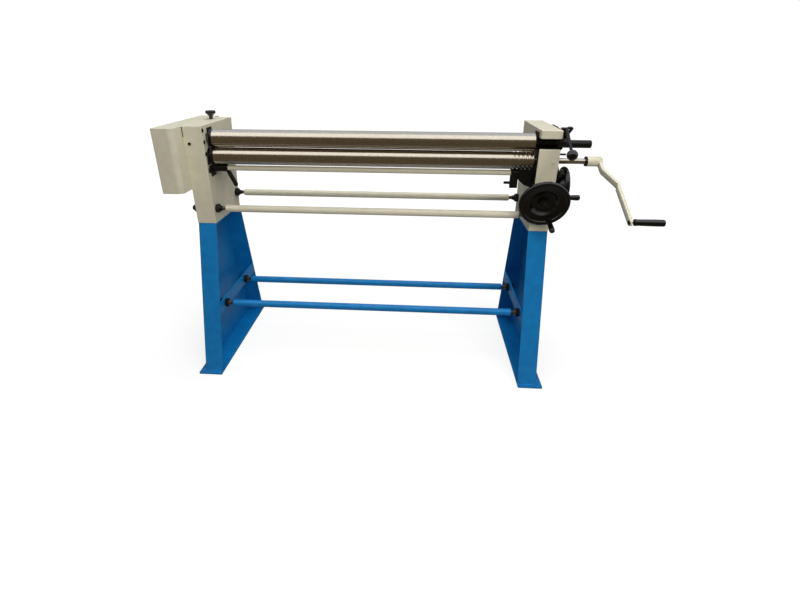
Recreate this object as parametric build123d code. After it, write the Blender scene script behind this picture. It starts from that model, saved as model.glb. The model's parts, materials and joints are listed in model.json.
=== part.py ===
from build123d import *
import os
from math import atan2, cos, degrees, hypot, pi, radians, sin, sqrt

# Slip roll, hand cranked, on a stand. Millimetres.
# Origin on the floor, midway between the heads and midway along the feet.
# X runs along the rolls with the crank at +X, the front faces -Y, Z is up.

# Heads and their spacing
head_spacing = 1325.0
head_width = 80.0
head_height = 414.0
head_back_y = 112.0
head_front_top_y = -242.0
head_front_bottom_y = -201.0
head_edge = 4.0

# Legs
leg_height = 676.0
leg_sheet = 5.0
leg_bend = 8.0
foot_half_depth = 327.0
foot_plate = 10.0
foot_side_lip = 24.0
foot_end_lip = 12.0
anchor_hole_r = 5.5
anchor_from_leg = 12.0
anchor_share_of_half_depth = 0.8

# Tie rods, their bare ends and nuts
stand_rod_r = 15.5
stand_rod_z = 296.0
stand_rod_front_y = -196.0
stand_rod_rear_y = 77.0
head_rod_r = 15.0
head_rod_front_above_leg = 63.0
head_rod_rear_above_leg = 72.0
head_rod_front_y = -178.0
head_rod_rear_y = 74.0
stud_r = 8.0
stud_hole_r = 8.3
stand_stud_bare_length = 20.0
head_stud_bare_length = 27.0
nut_flats = 34.0
nut_thickness = 16.0
nut_cone_length = 14.0
nut_cone_r = 13.0
nut_cone_end_r = 8.6
dome_flats = 32.0
dome_skirt = 12.0
dome_share = 0.42
strap_height = 52.0
strap_thickness = 8.0

# Rolls
roll_r = 35.0
roll_axis_y = -183.0
lower_roll_below_top = 124.6
roll_centres = 72.0
roll_end_gap = 12.0
roll_chamfer = 2.5
groove_count = 5
groove_pitch = 16.5
groove_first_from_end = 9.0
groove_smallest_r = 2.4
groove_step_r = 0.5
lower_journal_r = 15.0
crank_shaft_r = 11.0
upper_journal_r = 15.5
end_section_r = 17.2
ring_count = 4
ring_groove = 4.0
ring_groove_depth = 2.2
end_journal_length = 40.0
ring_section_length = 46.0
end_bush_length = 38.0

# Pocket for the free end of the upper roll
pocket_height = 40.0
liner_thickness = 2.5
pocket_rear_clearance = 0.4

# Swinging bearing of the upper roll
yoke_r = 27.0
yoke_height = 62.0
yoke_clearance = 0.3
swing_angle = 4.0
swing_window_margin = 1.5
roll_tail_r = 5.0
slide_plate_thickness = 3.0
left_slide_plate_front_margin = 24.0
right_slide_plate_front_margin = 2.0
slide_plate_rear_y = -140.0
slide_plate_below_axis = 87.4
slide_plate_above_axis = 112.6

# Lower bearing blocks and their slots
slot_width = 58.0
slot_top_above_axis = 31.5
slot_foot_below_shaft = 20.0
block_side_clearance = 0.2
block_recess = 4.0

# Rear roll, its blocks and lifting screws
rear_roll_y = -100.0
rear_roll_below_lower = 14.4
rear_lean = 15.0
rear_travel = 45.0
rear_pocket_depth = 50.0
rear_pocket_width = 54.0
rear_block_length = 54.0
rear_block_thickness = 46.0
rear_journal_r = 14.0
lift_screw_r = 8.0
lift_screw_length = 70.0
lift_bore_extra = 6.0

# Cross shaft with snail cams
cross_shaft_y = -175.0
cross_shaft_below_lower = 51.5
cross_shaft_r = 11.0
cam_mean_r = 15.2
cam_rise_per_turn = 7.2
cam_width = 26.0
cam_seat_gap = 0.3
cam_points = 36
bearing_flange_r = 30.0
left_bearing_length = 27.0
right_bearing_length = 60.0
bearing_flange_thickness = 8.0
gusset_half_width = 18.0
gusset_below_shaft = 26.0
gusset_bend_below_shaft = 46.0
gusset_foot_below_shaft = 58.0
gusset_bend_share = 0.62
shaft_collar_r = 15.5
left_collar_width = 14.0
left_collar_from_head = 62.5
left_handle_r = 9.0
left_handle_inward = 33.0
left_handle_drop = 69.0
right_clamp_width = 30.0
right_clamp_drop = 55.0
right_clamp_end_r = 8.0
right_pin_r = 5.5
right_pin_length = 24.0
right_pin_drop = 41.0

# Gears
drive_module = 3.0
drive_teeth = 23
drive_gear_width = 26.0
drive_gear_gap = 4.0
drive_hub_r = 18.0
drive_hub_length = 12.0
lift_module = 1.5
lift_gear_teeth = 40
lift_pinion_teeth = 22
lift_gear_width = 10.0
lift_gear_gap = 2.5
mesh_clearance = 0.1
gear_bush_r = 30.0
gear_bush_thickness = 14.0

# Running fits
running_clearance = 0.05
seat_clearance = 0.02
face_gap = 0.3
overrun = 5.0

# Handwheels and their handles
side_wheel_r = 75.0
side_wheel_offset = 40.0
front_wheel_r = 100.0
front_wheel_tilt = 18.0
front_wheel_below_top = 266.0
front_wheel_offset = 47.0
front_wheel_x_shift = -4.0
wheel_rim_r = 10.0
wheel_web = 6.0
wheel_dish = 15.0
wheel_hub_r = 21.0
wheel_hub_back = 8.0
wheel_hub_front = 5.0
wheel_boss_r = 12.0
wheel_shaft_r = 9.0
side_shaft_bore_depth = 22.0
front_shaft_bore_depth = 105.0
front_handle_length = 70.0
side_handle_length = 50.0
handle_neck_r = 7.5
handle_belly_r = 11.5
handle_pin_r = 5.0
handle_from_rim = 18.0
side_handle_angle = 45.0
front_handle_angle = 22.0

# Crank
crank_shaft_end_x = 900.0
crank_spigot_r = 7.0
crank_spigot_length = 30.0
crank_hub_r = 19.5
crank_hub_start_x = 860.0
crank_hub_end_x = 918.0
crank_length = 336.0
crank_angle = 62.0
crank_bar_width = 26.0
crank_bar_thickness = 12.0
crank_bar_x = 909.0
crank_bar_shift = 43.0
crank_first_bend = 58.0
crank_second_bend = 148.0
crank_bolt_r = 6.0
crank_bolt_head_r = 10.0
crank_bolt_head = 8.0
crank_grip_r = 12.5
crank_grip_length = 105.0
crank_grip_wall = 8.0

# Gear cover
cover_width = 87.0
cover_wall = 3.0
cover_foot_above_leg = 152.0
cover_ahead_of_head = 84.0
cover_back_y = 168.0
cover_edge_round = 24.0
cover_screw_r = 6.0
cover_screw_from_seam = 23.0

# Latch of the free end
rail_r = 7.0
rail_front_y = -226.0
rail_rear_y = -8.0
rail_below_top = 13.0
rail_block = 24.0
rail_block_beyond_bar = 8.0
rail_grip_r = 9.5
rail_grip_length = 66.0
rail_stand_off = 16.0
lever_axis_y = -135.0
lever_axis_below_top = 46.0
lever_drum_r = 25.0
lever_drum_length = 22.0
lever_rod_r = 5.5
lever_rod_x = 752.0
lever_bend_r = 8.8
lever_elbow_y = -240.0
lever_elbow_above_top = 10.0
ball_r = 20.0
ball_y = -356.0
ball_below_top = 72.0
lever_pin_r = 8.0
latch_axis_y = -110.0
latch_axis_below_roll = 58.4
latch_arm_thickness = 12.0
latch_arm_half_height = 12.0
latch_eye_r = 21.0
latch_pin_r = 8.0
latch_pin_tail_r = 4.0
latch_pin_tail = 30.0
latch_jaw_wall = 10.0
latch_jaw_top_angle = 50.0
latch_saddle_gap = 0.6
latch_jaw_relief = 1.5
bracket_thickness = 10.0
bracket_shape = ((12, 65), (28, 69), (35, 61), (61, -19), (74, -35), (44, -49), (4, -60), (-4, -29))

# Plain bar, knob, plugs and screws
rear_bar_r = 17.0
rear_bar_length = 203.0
rear_bar_y = 50.0
rear_bar_below_top = 92.0
rear_bar_collar_flats = 44.0
rear_bar_collar = 16.0
knob_disc_r = 22.0
knob_disc = 12.0
knob_neck_r = 8.0
knob_height = 36.0
knob_stem_r = 6.0
knob_stem_length = 20.0
knob_x = -722.0
knob_y = 22.0
oil_hole_r = 9.0
oil_hole_y = -66.0
oil_hole_below_lower = 87.4
oil_hole_depth = 14.0
face_screw_r = 8.0
face_screw_stand = 2.0
face_screw_shank_r = 4.0
face_screw_depth = 10.0
face_screw_from_front = 9.5
leg_bolt_r = 6.0
leg_bolt_flats = 19.0
leg_bolt_head = 8.0
leg_bolt_length = 40.0
leg_bolt_spread_share = 0.6

# Places worked out from the sizes above
head_inner_x = head_spacing / 2
head_outer_x = head_inner_x + head_width
head_mid_x = head_inner_x + head_width / 2
head_top_z = leg_height + head_height
head_slope = (head_front_top_y - head_front_bottom_y) / head_height
stand_rod_places = ((stand_rod_front_y, stand_rod_z), (stand_rod_rear_y, stand_rod_z))
head_rod_places = (
    (head_rod_front_y, leg_height + head_rod_front_above_leg),
    (head_rod_rear_y, leg_height + head_rod_rear_above_leg),
)
lower_roll_z = head_top_z - lower_roll_below_top
upper_roll_z = lower_roll_z + roll_centres
rear_roll_z = lower_roll_z - rear_roll_below_lower
cross_shaft_z = lower_roll_z - cross_shaft_below_lower
slide_plate_foot_z = lower_roll_z - slide_plate_below_axis
slide_plate_head_z = lower_roll_z + slide_plate_above_axis
oil_hole_z = lower_roll_z - oil_hole_below_lower
latch_axis_z = upper_roll_z - latch_axis_below_roll
front_wheel_axis_z = head_top_z - front_wheel_below_top
cover_foot_z = leg_height + cover_foot_above_leg
lever_axis_z = head_top_z - lever_axis_below_top
lever_elbow_z = head_top_z + lever_elbow_above_top
ball_z = head_top_z - ball_below_top
rear_bar_z = head_top_z - rear_bar_below_top
roll_half = head_inner_x - roll_end_gap
slot_top_z = lower_roll_z + slot_top_above_axis
slot_foot_z = cross_shaft_z - slot_foot_below_shaft
lift_centres = lift_module * (lift_gear_teeth + lift_pinion_teeth) / 2 + mesh_clearance
side_wheel_y = roll_axis_y
side_wheel_z = cross_shaft_z - sqrt(lift_centres ** 2 - (side_wheel_y - cross_shaft_y) ** 2)
block_foot_z = cross_shaft_z + cam_mean_r + cam_seat_gap
lift_gear_x = head_outer_x + lift_gear_gap


def front_y(z):
    """Front face of a head at height z."""
    return head_front_bottom_y + head_slope * (z - leg_height)


def leg_front_y(z):
    """Outer front face of a leg at height z."""
    return -foot_half_depth + (head_front_bottom_y + foot_half_depth) * z / leg_height


def leg_back_y(z):
    """Outer back face of a leg at height z."""
    return foot_half_depth + (head_back_y - foot_half_depth) * z / leg_height


def slab_x(points, x_start, x_end):
    """Prism along X from an outline of (y, z) points."""
    face = Plane.YZ.offset(x_start) * make_face(Polyline(*points, close=True))
    return extrude(face, amount=x_end - x_start, dir=(1, 0, 0))


def rod_x(x_start, x_end, y, z, radius):
    """Round bar along X."""
    return Pos((x_start + x_end) / 2, y, z) * Rot(0, 90, 0) * Cylinder(radius, abs(x_end - x_start))


def block(x_start, x_end, y_start, y_end, z_start, z_end):
    """Rectangular block between two corners."""
    size = Box(abs(x_end - x_start), abs(y_end - y_start), abs(z_end - z_start))
    return Pos((x_start + x_end) / 2, (y_start + y_end) / 2, (z_start + z_end) / 2) * size


def turned_x(points, y, z):
    """Solid turned about an axis along X from (x, radius) points."""
    face = Plane.XZ * make_face(Polyline(*points, close=True))
    return Pos(0, y, z) * revolve(face, Axis.X)


def hex_bar_x(x_start, x_end, y, z, flats):
    """Hexagonal bar along X."""
    face = Plane.YZ.offset(x_start) * Pos(y, z) * RegularPolygon(flats / 2, 6, major_radius=False)
    return extrude(face, amount=x_end - x_start, dir=(1, 0, 0))


def mirrored(shape):
    """The same piece on the other side."""
    return mirror(shape, about=Plane.YZ)


def common(first, second):
    """The volume that two shapes share."""
    shared = first & second
    return shared[0] if isinstance(shared, ShapeList) else shared


def gear_outline(module, teeth, phase):
    """Spur gear outline; phase in degrees turns the first tooth from the X axis."""
    tip_r = module * (teeth / 2 + 1)
    pitch_r = module * teeth / 2
    root_r = module * (teeth / 2 - 5 / 4)
    pitch_angle = 360 / teeth
    radii = (root_r, pitch_r - module / 2, pitch_r + module / 3, tip_r)
    half_share = (0.37, 0.275, 0.195, 0.115)
    points = []
    for tooth in range(teeth):
        middle = phase + tooth * pitch_angle
        sides = [(radius, -share) for radius, share in zip(radii, half_share)]
        sides += [(radius, share) for radius, share in zip(reversed(radii), reversed(half_share))]
        for radius, share in sides:
            angle = radians(middle + share * pitch_angle)
            points.append((radius * cos(angle), radius * sin(angle)))
    return points


def gear_x(module, teeth, phase, x_start, x_end, y, z):
    """Spur gear along X with its axis at (y, z)."""
    outline = [(y + a, z + b) for a, b in gear_outline(module, teeth, phase)]
    return slab_x(outline, x_start, x_end)


def leg():
    """Folded channel leg, open towards the middle, with cap, foot plate and anchor holes."""
    outline = [
        (leg_front_y(0), 0),
        (leg_back_y(0), 0),
        (head_back_y, leg_height),
        (head_front_bottom_y, leg_height),
    ]
    low_z = foot_plate
    high_z = leg_height - leg_sheet
    hollow = [
        (leg_front_y(low_z) + leg_sheet, low_z),
        (leg_back_y(low_z) - leg_sheet, low_z),
        (leg_back_y(high_z) - leg_sheet, high_z),
        (leg_front_y(high_z) + leg_sheet, high_z),
    ]
    shell = slab_x(outline, head_inner_x, head_outer_x)
    bends = shell.edges().filter_by(lambda e: abs(e.center().X - head_outer_x) < leg_sheet)
    bends = bends.filter_by(lambda e: e.length > head_height)
    slopes = [e for e in bends if abs(e.tangent_at(0).Z) > abs(e.tangent_at(0).Y)]
    shell = fillet(slopes, leg_bend)
    shell -= slab_x(hollow, head_inner_x - overrun, head_outer_x - leg_sheet)
    foot_end = foot_half_depth + foot_end_lip
    foot = block(head_inner_x, head_outer_x + foot_side_lip, -foot_end, foot_end, 0, foot_plate)
    shell += foot
    anchor_y = foot_half_depth * anchor_share_of_half_depth
    for y in (-anchor_y, anchor_y):
        hole = Pos(head_outer_x + anchor_from_leg, y, foot_plate / 2)
        shell -= hole * Cylinder(anchor_hole_r, foot_plate + overrun)
    for y in leg_bolt_places():
        hole = Pos(head_mid_x, y, leg_height)
        shell -= hole * Cylinder(leg_bolt_r + face_gap, leg_sheet * 4)
    return shell


def leg_bolt_places():
    """Bolts between a head and its leg, front and rear."""
    middle = (head_front_bottom_y + head_back_y) / 2
    half = (head_back_y - head_front_bottom_y) / 2 * leg_bolt_spread_share
    return (middle - half, middle + half)


def leg_bolts():
    """Hexagon bolts up through the caps of the legs into the heads."""
    bolts = []
    for side in (-1, 1):
        for y in leg_bolt_places():
            head_z = leg_height - leg_sheet - leg_bolt_head
            place = Pos(side * head_mid_x, y, head_z)
            head = place * extrude(RegularPolygon(leg_bolt_flats / 2, 6, major_radius=False), leg_bolt_head)
            shank = place * Pos(0, 0, leg_bolt_head + leg_bolt_length / 2)
            bolts.append(head + shank * Cylinder(leg_bolt_r, leg_bolt_length))
    return Compound(bolts)


def strap():
    """Flat bar across the opening of a leg, drilled for the stand rods."""
    low = stand_rod_z - strap_height / 2
    high = stand_rod_z + strap_height / 2
    outline = [
        (leg_front_y(low) + leg_sheet, low),
        (leg_back_y(low) - leg_sheet, low),
        (leg_back_y(high) - leg_sheet, high),
        (leg_front_y(high) + leg_sheet, high),
    ]
    bar = slab_x(outline, head_inner_x, head_inner_x + strap_thickness)
    for y in (stand_rod_front_y, stand_rod_rear_y):
        end_x = head_inner_x + strap_thickness + overrun
        bar -= rod_x(head_inner_x - overrun, end_x, y, stand_rod_z, stud_hole_r)
    return bar


def tie_rod(place, radius, bare_length):
    """Painted tie rod between its bare threaded ends."""
    half = head_inner_x - nut_thickness - bare_length
    bar = rod_x(-half, half, *place, radius)
    return chamfer(bar.edges().filter_by(GeomType.CIRCLE), radius / 7)


def studs(places, bare_length, reach):
    """Bare threaded ends of two tie rods, reaching past the inner faces."""
    inner = head_inner_x - nut_thickness - bare_length
    ends = []
    for side in (-1, 1):
        for y, z in places:
            ends.append(rod_x(side * inner, side * (head_inner_x + reach), y, z, stud_r))
    return Compound(ends)


def nut(x_start, x_end, y, z, flats):
    """Hexagon nut along X with its bore."""
    body = hex_bar_x(x_start, x_end, y, z, flats)
    body = common(body, rod_x(x_start, x_end, y, z, flats * 0.56))
    return body - rod_x(x_start - overrun, x_end + overrun, y, z, stud_r + seat_clearance)


def stand_nuts():
    """Nuts on both sides of each strap."""
    nuts = []
    for y, z in stand_rod_places:
        nuts.append(nut(head_inner_x - nut_thickness, head_inner_x, y, z, nut_flats))
        outer = head_inner_x + strap_thickness
        nuts.append(nut(outer, outer + nut_thickness, y, z, nut_flats))
    return Compound(nuts + [mirrored(piece) for piece in nuts])


def head_nuts():
    """Nuts on the inner faces of the heads, each with a cone towards its rod."""
    nuts = []
    inner = head_inner_x - nut_thickness
    for y, z in head_rod_places:
        cone = turned_x([
            (inner - nut_cone_length, stud_r + seat_clearance),
            (inner - nut_cone_length, nut_cone_end_r),
            (inner, nut_cone_r),
            (inner, stud_r + seat_clearance),
        ], y, z)
        nuts.append(nut(inner, head_inner_x, y, z, nut_flats) + cone)
    return Compound(nuts + [mirrored(piece) for piece in nuts])


def dome_nuts():
    """Domed nuts on the outer faces of the heads."""
    nuts = []
    for y, z in head_rod_places:
        skirt = hex_bar_x(head_outer_x, head_outer_x + dome_skirt, y, z, dome_flats)
        ball = Pos(head_outer_x + dome_skirt, y, z) * Sphere(dome_flats * dome_share)
        cap = skirt + (ball - block(head_mid_x, head_outer_x, y - dome_flats, y + dome_flats,
                                    z - dome_flats, z + dome_flats))
        bore = rod_x(head_outer_x - overrun, head_outer_x + dome_skirt, y, z, stud_r + seat_clearance)
        nuts.append(cap - bore)
    return Compound(nuts + [mirrored(piece) for piece in nuts])


def head_blank():
    """Plain head before its pockets, right-hand side, with its rod and bolt holes."""
    outline = [
        (head_front_bottom_y, leg_height),
        (head_back_y, leg_height),
        (head_back_y, head_top_z),
        (head_front_top_y, head_top_z),
    ]
    blank = slab_x(outline, head_inner_x, head_outer_x)
    blank = chamfer(blank.edges().filter_by(Axis.X), head_edge / 2)
    for y, z in head_rod_places:
        blank -= rod_x(head_inner_x - overrun, head_outer_x + overrun, y, z, stud_hole_r)
    for y in leg_bolt_places():
        depth = leg_bolt_length - leg_sheet + face_gap
        hole = Pos(head_mid_x, y, leg_height + depth / 2 - overrun / 2)
        blank -= hole * Cylinder(leg_bolt_r + seat_clearance, depth + overrun)
    return blank


def lower_slot(half_width):
    """Upright slot outline with a round top for a lower bearing block, as a cutter."""
    centre_z = slot_top_z - half_width
    flat = block(head_inner_x - overrun, head_outer_x + overrun,
                 roll_axis_y - half_width, roll_axis_y + half_width, slot_foot_z, centre_z)
    return flat + rod_x(head_inner_x - overrun, head_outer_x + overrun, roll_axis_y, centre_z, half_width)


def rear_point(travel):
    """Axis of the rear roll after moving along its leaning slide."""
    return (rear_roll_y - travel * sin(radians(rear_lean)), rear_roll_z + travel * cos(radians(rear_lean)))


def rear_slide_shape(width, low, high, x_start, x_end):
    """Leaning rectangular prism along the rear roll's slide, from low to high travel."""
    lean = radians(rear_lean)
    along = (-sin(lean), cos(lean))
    across = (cos(lean), sin(lean))
    points = []
    for travel, side in ((low, -1), (low, 1), (high, 1), (high, -1)):
        y = rear_roll_y + along[0] * travel + across[0] * side * width / 2
        z = rear_roll_z + along[1] * travel + across[1] * side * width / 2
        points.append((y, z))
    return slab_x(points, x_start, x_end)


def lean_rod(low, high, radius, x):
    """Round bar along the rear slide between two travels."""
    lean = radians(rear_lean)
    y, z = rear_point((low + high) / 2)
    return Pos(x, y, z) * Rot(degrees(lean), 0, 0) * Cylinder(radius, high - low)


def rear_cuts(head):
    """Blind leaning pocket for a rear block and the bore of its lifting screw."""
    half = rear_block_length / 2
    low = -half - face_gap
    high = half + rear_travel + lift_bore_extra
    deep_x = head_inner_x + rear_pocket_depth
    head -= rear_slide_shape(rear_pocket_width, low, high, head_inner_x - overrun, deep_x)
    screw_x = head_inner_x + rear_pocket_depth / 2
    head -= lean_rod(low - lift_screw_length - lift_bore_extra, 0, lift_screw_r + face_gap, screw_x)
    return head


def right_head():
    """Right head: open-front pocket, shaft slot, oil hole and handwheel bores."""
    head = head_blank() - lower_slot(slot_width / 2)
    rear = roll_axis_y + pocket_rear_clearance
    head -= block(head_inner_x - overrun, head_outer_x + overrun, head_front_top_y - overrun, rear,
                  upper_roll_z - pocket_height / 2, upper_roll_z + pocket_height / 2)
    head -= rod_x(head_inner_x - overrun, head_outer_x + overrun, rear, upper_roll_z, pocket_height / 2)
    head = rear_cuts(head)
    head -= rod_x(head_outer_x - oil_hole_depth, head_outer_x + overrun, oil_hole_y, oil_hole_z, oil_hole_r)
    head -= rod_x(head_outer_x - side_shaft_bore_depth, head_outer_x + overrun,
                  side_wheel_y, side_wheel_z, wheel_shaft_r + running_clearance)
    head -= front_axis_place() * Pos(0, 0, (overrun * 2 - front_shaft_bore_depth) / 2) * Cylinder(
        wheel_shaft_r + running_clearance, front_shaft_bore_depth + overrun * 2)
    head -= rod_x(head_outer_x - rail_block, head_outer_x + overrun, rear_bar_y, rear_bar_z,
                  rear_bar_r / 2 + seat_clearance)
    head -= rod_x(head_outer_x - rail_block, head_outer_x + overrun, lever_axis_y, lever_axis_z,
                  lever_pin_r + seat_clearance)
    return head


def left_head():
    """Left head: slot, swing bearing cavity and the openings behind the gear cover."""
    head = head_blank() - lower_slot(slot_width / 2)
    head = rear_cuts(head)
    cavity = Pos(head_mid_x, roll_axis_y, upper_roll_z)
    head -= cavity * Cylinder(yoke_r + yoke_clearance, yoke_height + 2 * yoke_clearance)
    window = swing_window()
    head -= block(head_inner_x - overrun, head_mid_x, *window)
    head -= rod_x(head_mid_x, head_outer_x + overrun, roll_axis_y, upper_roll_z, drive_hub_r + face_gap)
    head = mirrored(head)
    for y, z in face_screw_places():
        head -= rod_x(-head_inner_x - face_screw_depth - face_gap, -head_inner_x + overrun, y, z,
                      face_screw_shank_r + seat_clearance)
    head -= Pos(knob_x, knob_y, head_top_z) * Cylinder(knob_stem_r + running_clearance, knob_stem_length * 2)
    return head


def swing_window():
    """Opening of the left head's inner face that the swinging journal needs: y and z limits."""
    reach = (head_width / 2) * sin(radians(swing_angle))
    low_y = roll_axis_y - upper_journal_r - reach - swing_window_margin
    high_y = roll_axis_y + upper_journal_r + reach + swing_window_margin
    half = upper_journal_r + swing_window_margin
    return (low_y, high_y, upper_roll_z - half, upper_roll_z + half)


def face_screw_places():
    """Three screw heads near the front corner of the left head's inner face."""
    heights = (upper_roll_z + roll_r, upper_roll_z - roll_r / 3, lower_roll_z + roll_r / 3)
    return [(front_y(z) + face_screw_from_front, z) for z in heights]


def face_screws():
    """Black screw heads in the left head: three in its inner face and one in its front face."""
    heads = []
    seat_x = -head_inner_x
    top_x = seat_x + face_screw_stand
    for y, z in face_screw_places():
        head = rod_x(seat_x, top_x, y, z, face_screw_r)
        head += rod_x(-head_inner_x - face_screw_depth, seat_x, y, z, face_screw_shank_r)
        socket = Pos(top_x - face_screw_stand / 2, y, z) * Rot(0, 90, 0)
        hexagon = extrude(RegularPolygon(face_screw_r / 2, 6, major_radius=False), face_screw_stand)
        heads.append(head - socket * hexagon)
    return Compound(heads + [cover_screw()])


def slide_plate_blank(front_margin):
    """Black plate on a head's inner face beside the roll ends, left-hand side."""
    outline = [
        (front_y(slide_plate_foot_z) + front_margin, slide_plate_foot_z),
        (slide_plate_rear_y, slide_plate_foot_z),
        (slide_plate_rear_y, slide_plate_head_z),
        (front_y(slide_plate_head_z) + front_margin, slide_plate_head_z),
    ]
    plate = slab_x(outline, -head_inner_x, -head_inner_x + slide_plate_thickness)
    start = -head_inner_x - overrun
    end = -head_inner_x + overrun
    hole_r = lower_journal_r + cam_mean_r / 4
    plate -= rod_x(start, end, roll_axis_y, lower_roll_z, hole_r)
    return plate - rod_x(start, end, cross_shaft_y, cross_shaft_z, bearing_flange_r + face_gap)


def left_slide_plate():
    """Left plate with the window of the swinging journal."""
    plate = slide_plate_blank(left_slide_plate_front_margin)
    return plate - block(-head_inner_x - overrun, -head_inner_x + overrun, *swing_window())


def right_slide_plate():
    """Right plate with an open-front slot as high as the pocket."""
    start = head_inner_x - overrun
    end = head_inner_x + overrun
    rear = roll_axis_y + pocket_rear_clearance
    half = pocket_height / 2
    plate = mirrored(slide_plate_blank(right_slide_plate_front_margin))
    plate -= block(start, end, head_front_top_y - overrun, rear, upper_roll_z - half, upper_roll_z + half)
    return plate - rod_x(start, end, rear, upper_roll_z, half)


def pocket_liner():
    """Black wear liner bent round the pocket of the right head."""
    outer_r = pocket_height / 2
    inner_r = outer_r - liner_thickness
    rear = roll_axis_y + pocket_rear_clearance
    front = front_y(upper_roll_z)
    start = head_inner_x
    end = head_outer_x

    def tongue(radius, front_edge):
        flat = block(start, end, front_edge, rear, upper_roll_z - radius, upper_roll_z + radius)
        return flat + rod_x(start, end, rear, upper_roll_z, radius)

    liner = tongue(outer_r - seat_clearance, front + head_edge * 2)
    return liner - tongue(inner_r, front - overrun * 2)


def swing_yoke():
    """Upright drum that carries the fixed end of the upper roll and lets it swing."""
    drum = Pos(-head_mid_x, roll_axis_y, upper_roll_z) * Cylinder(yoke_r, yoke_height)
    drum = chamfer(drum.edges().filter_by(GeomType.CIRCLE), yoke_clearance * 4)
    reach = yoke_r + overrun
    bore = rod_x(-head_mid_x - reach, -head_mid_x + reach, roll_axis_y, upper_roll_z,
                 upper_journal_r + running_clearance)
    return drum - bore


def groove_points(x_end, direction):
    """Centres and radii of the wire grooves near a roll's end."""
    grooves = []
    for number in range(groove_count):
        x = x_end - direction * (groove_first_from_end + number * groove_pitch)
        grooves.append((x, groove_smallest_r + groove_step_r * (groove_count - number)))
    return grooves


def wire_grooves(y, z):
    """Round-bottomed rings cut near the right end of a roll, as cutters."""
    rings = []
    for x, radius in groove_points(roll_half, 1):
        rings.append(Pos(x, y, z) * Rot(0, 90, 0) * Torus(roll_r, radius))
    return rings


def lower_roll():
    """Lower roll with journals, gear seat, socket for the crank shaft and wire grooves."""
    gear_end = -(head_outer_x + drive_gear_gap + drive_gear_width)
    journal_end = head_outer_x - block_recess
    points = [
        (gear_end, 0),
        (gear_end, crank_shaft_r),
        (-journal_end, crank_shaft_r),
        (-journal_end, lower_journal_r),
        (-roll_half, lower_journal_r),
        (-roll_half, roll_r - roll_chamfer),
        (-roll_half + roll_chamfer, roll_r),
        (roll_half - roll_chamfer, roll_r),
        (roll_half, roll_r - roll_chamfer),
        (roll_half, lower_journal_r),
        (journal_end, lower_journal_r),
        (journal_end, crank_spigot_r + seat_clearance),
        (journal_end - crank_spigot_length - face_gap, crank_spigot_r + seat_clearance),
        (journal_end - crank_spigot_length - face_gap, 0),
    ]
    roll = turned_x(points, roll_axis_y, lower_roll_z)
    for ring in wire_grooves(roll_axis_y, lower_roll_z):
        roll -= ring
    return roll


def crank_shaft():
    """Shaft from the lower roll's journal out to the crank, with the spigot that seats it."""
    journal_end = head_outer_x - block_recess
    points = [
        (journal_end - crank_spigot_length, 0),
        (journal_end - crank_spigot_length, crank_spigot_r),
        (journal_end, crank_spigot_r),
        (journal_end, crank_shaft_r),
        (crank_shaft_end_x, crank_shaft_r),
        (crank_shaft_end_x, 0),
    ]
    return turned_x(points, roll_axis_y, lower_roll_z)


def rear_roll():
    """Rear bending roll between its leaning blocks."""
    journal_end = head_inner_x + rear_block_thickness - block_recess
    points = [
        (-journal_end, 0),
        (-journal_end, rear_journal_r),
        (-roll_half, rear_journal_r),
        (-roll_half, roll_r - roll_chamfer),
        (-roll_half + roll_chamfer, roll_r),
        (roll_half - roll_chamfer, roll_r),
        (roll_half, roll_r - roll_chamfer),
        (roll_half, rear_journal_r),
        (journal_end, rear_journal_r),
        (journal_end, 0),
    ]
    roll = turned_x(points, rear_roll_y, rear_roll_z)
    for ring in wire_grooves(rear_roll_y, rear_roll_z):
        roll -= ring
    return roll


def upper_end_places():
    """X places along the free end of the upper roll: journal, rings, bush."""
    rings_start = roll_half + end_journal_length
    rings_end = rings_start + ring_section_length
    return rings_start, rings_end, rings_end + end_bush_length


def upper_roll():
    """Upper roll: tail and journal in the swing bearing, ringed free end."""
    rings_start, rings_end, bush_end = upper_end_places()
    tail_end = -(head_outer_x + drive_gear_gap + drive_hub_length / 2)
    journal_end = -(head_mid_x + yoke_r / 2)
    points = [
        (tail_end, 0),
        (tail_end, roll_tail_r),
        (journal_end, roll_tail_r),
        (journal_end, upper_journal_r),
        (-roll_half, upper_journal_r),
        (-roll_half, roll_r - roll_chamfer),
        (-roll_half + roll_chamfer, roll_r),
        (roll_half - roll_chamfer, roll_r),
        (roll_half, roll_r - roll_chamfer),
        (roll_half, upper_journal_r),
        (rings_start, upper_journal_r),
        (rings_start, end_section_r),
    ]
    spacing = ring_section_length / (ring_count + 1)
    for number in range(ring_count):
        x = rings_start + spacing * (number + 1)
        points.append((x - ring_groove / 2, end_section_r))
        points.append((x - ring_groove / 2, end_section_r - ring_groove_depth))
        points.append((x + ring_groove / 2, end_section_r - ring_groove_depth))
        points.append((x + ring_groove / 2, end_section_r))
    seat_end = bush_end - end_bush_length / 3
    points += [
        (rings_end, end_section_r),
        (rings_end, end_section_r / 2),
        (seat_end, end_section_r / 2),
        (seat_end, 0),
    ]
    return turned_x(points, roll_axis_y, upper_roll_z)


def upper_bush():
    """Black bush on the free end of the upper roll."""
    rings_start, rings_end, bush_end = upper_end_places()
    seat_end = bush_end - end_bush_length / 3
    bore_r = end_section_r / 2 + seat_clearance
    points = [
        (rings_end, bore_r),
        (rings_end, end_section_r),
        (bush_end - roll_chamfer, end_section_r),
        (bush_end, end_section_r - roll_chamfer),
        (bush_end, 0),
        (seat_end, 0),
        (seat_end, bore_r),
    ]
    return turned_x(points, roll_axis_y, upper_roll_z)


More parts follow.
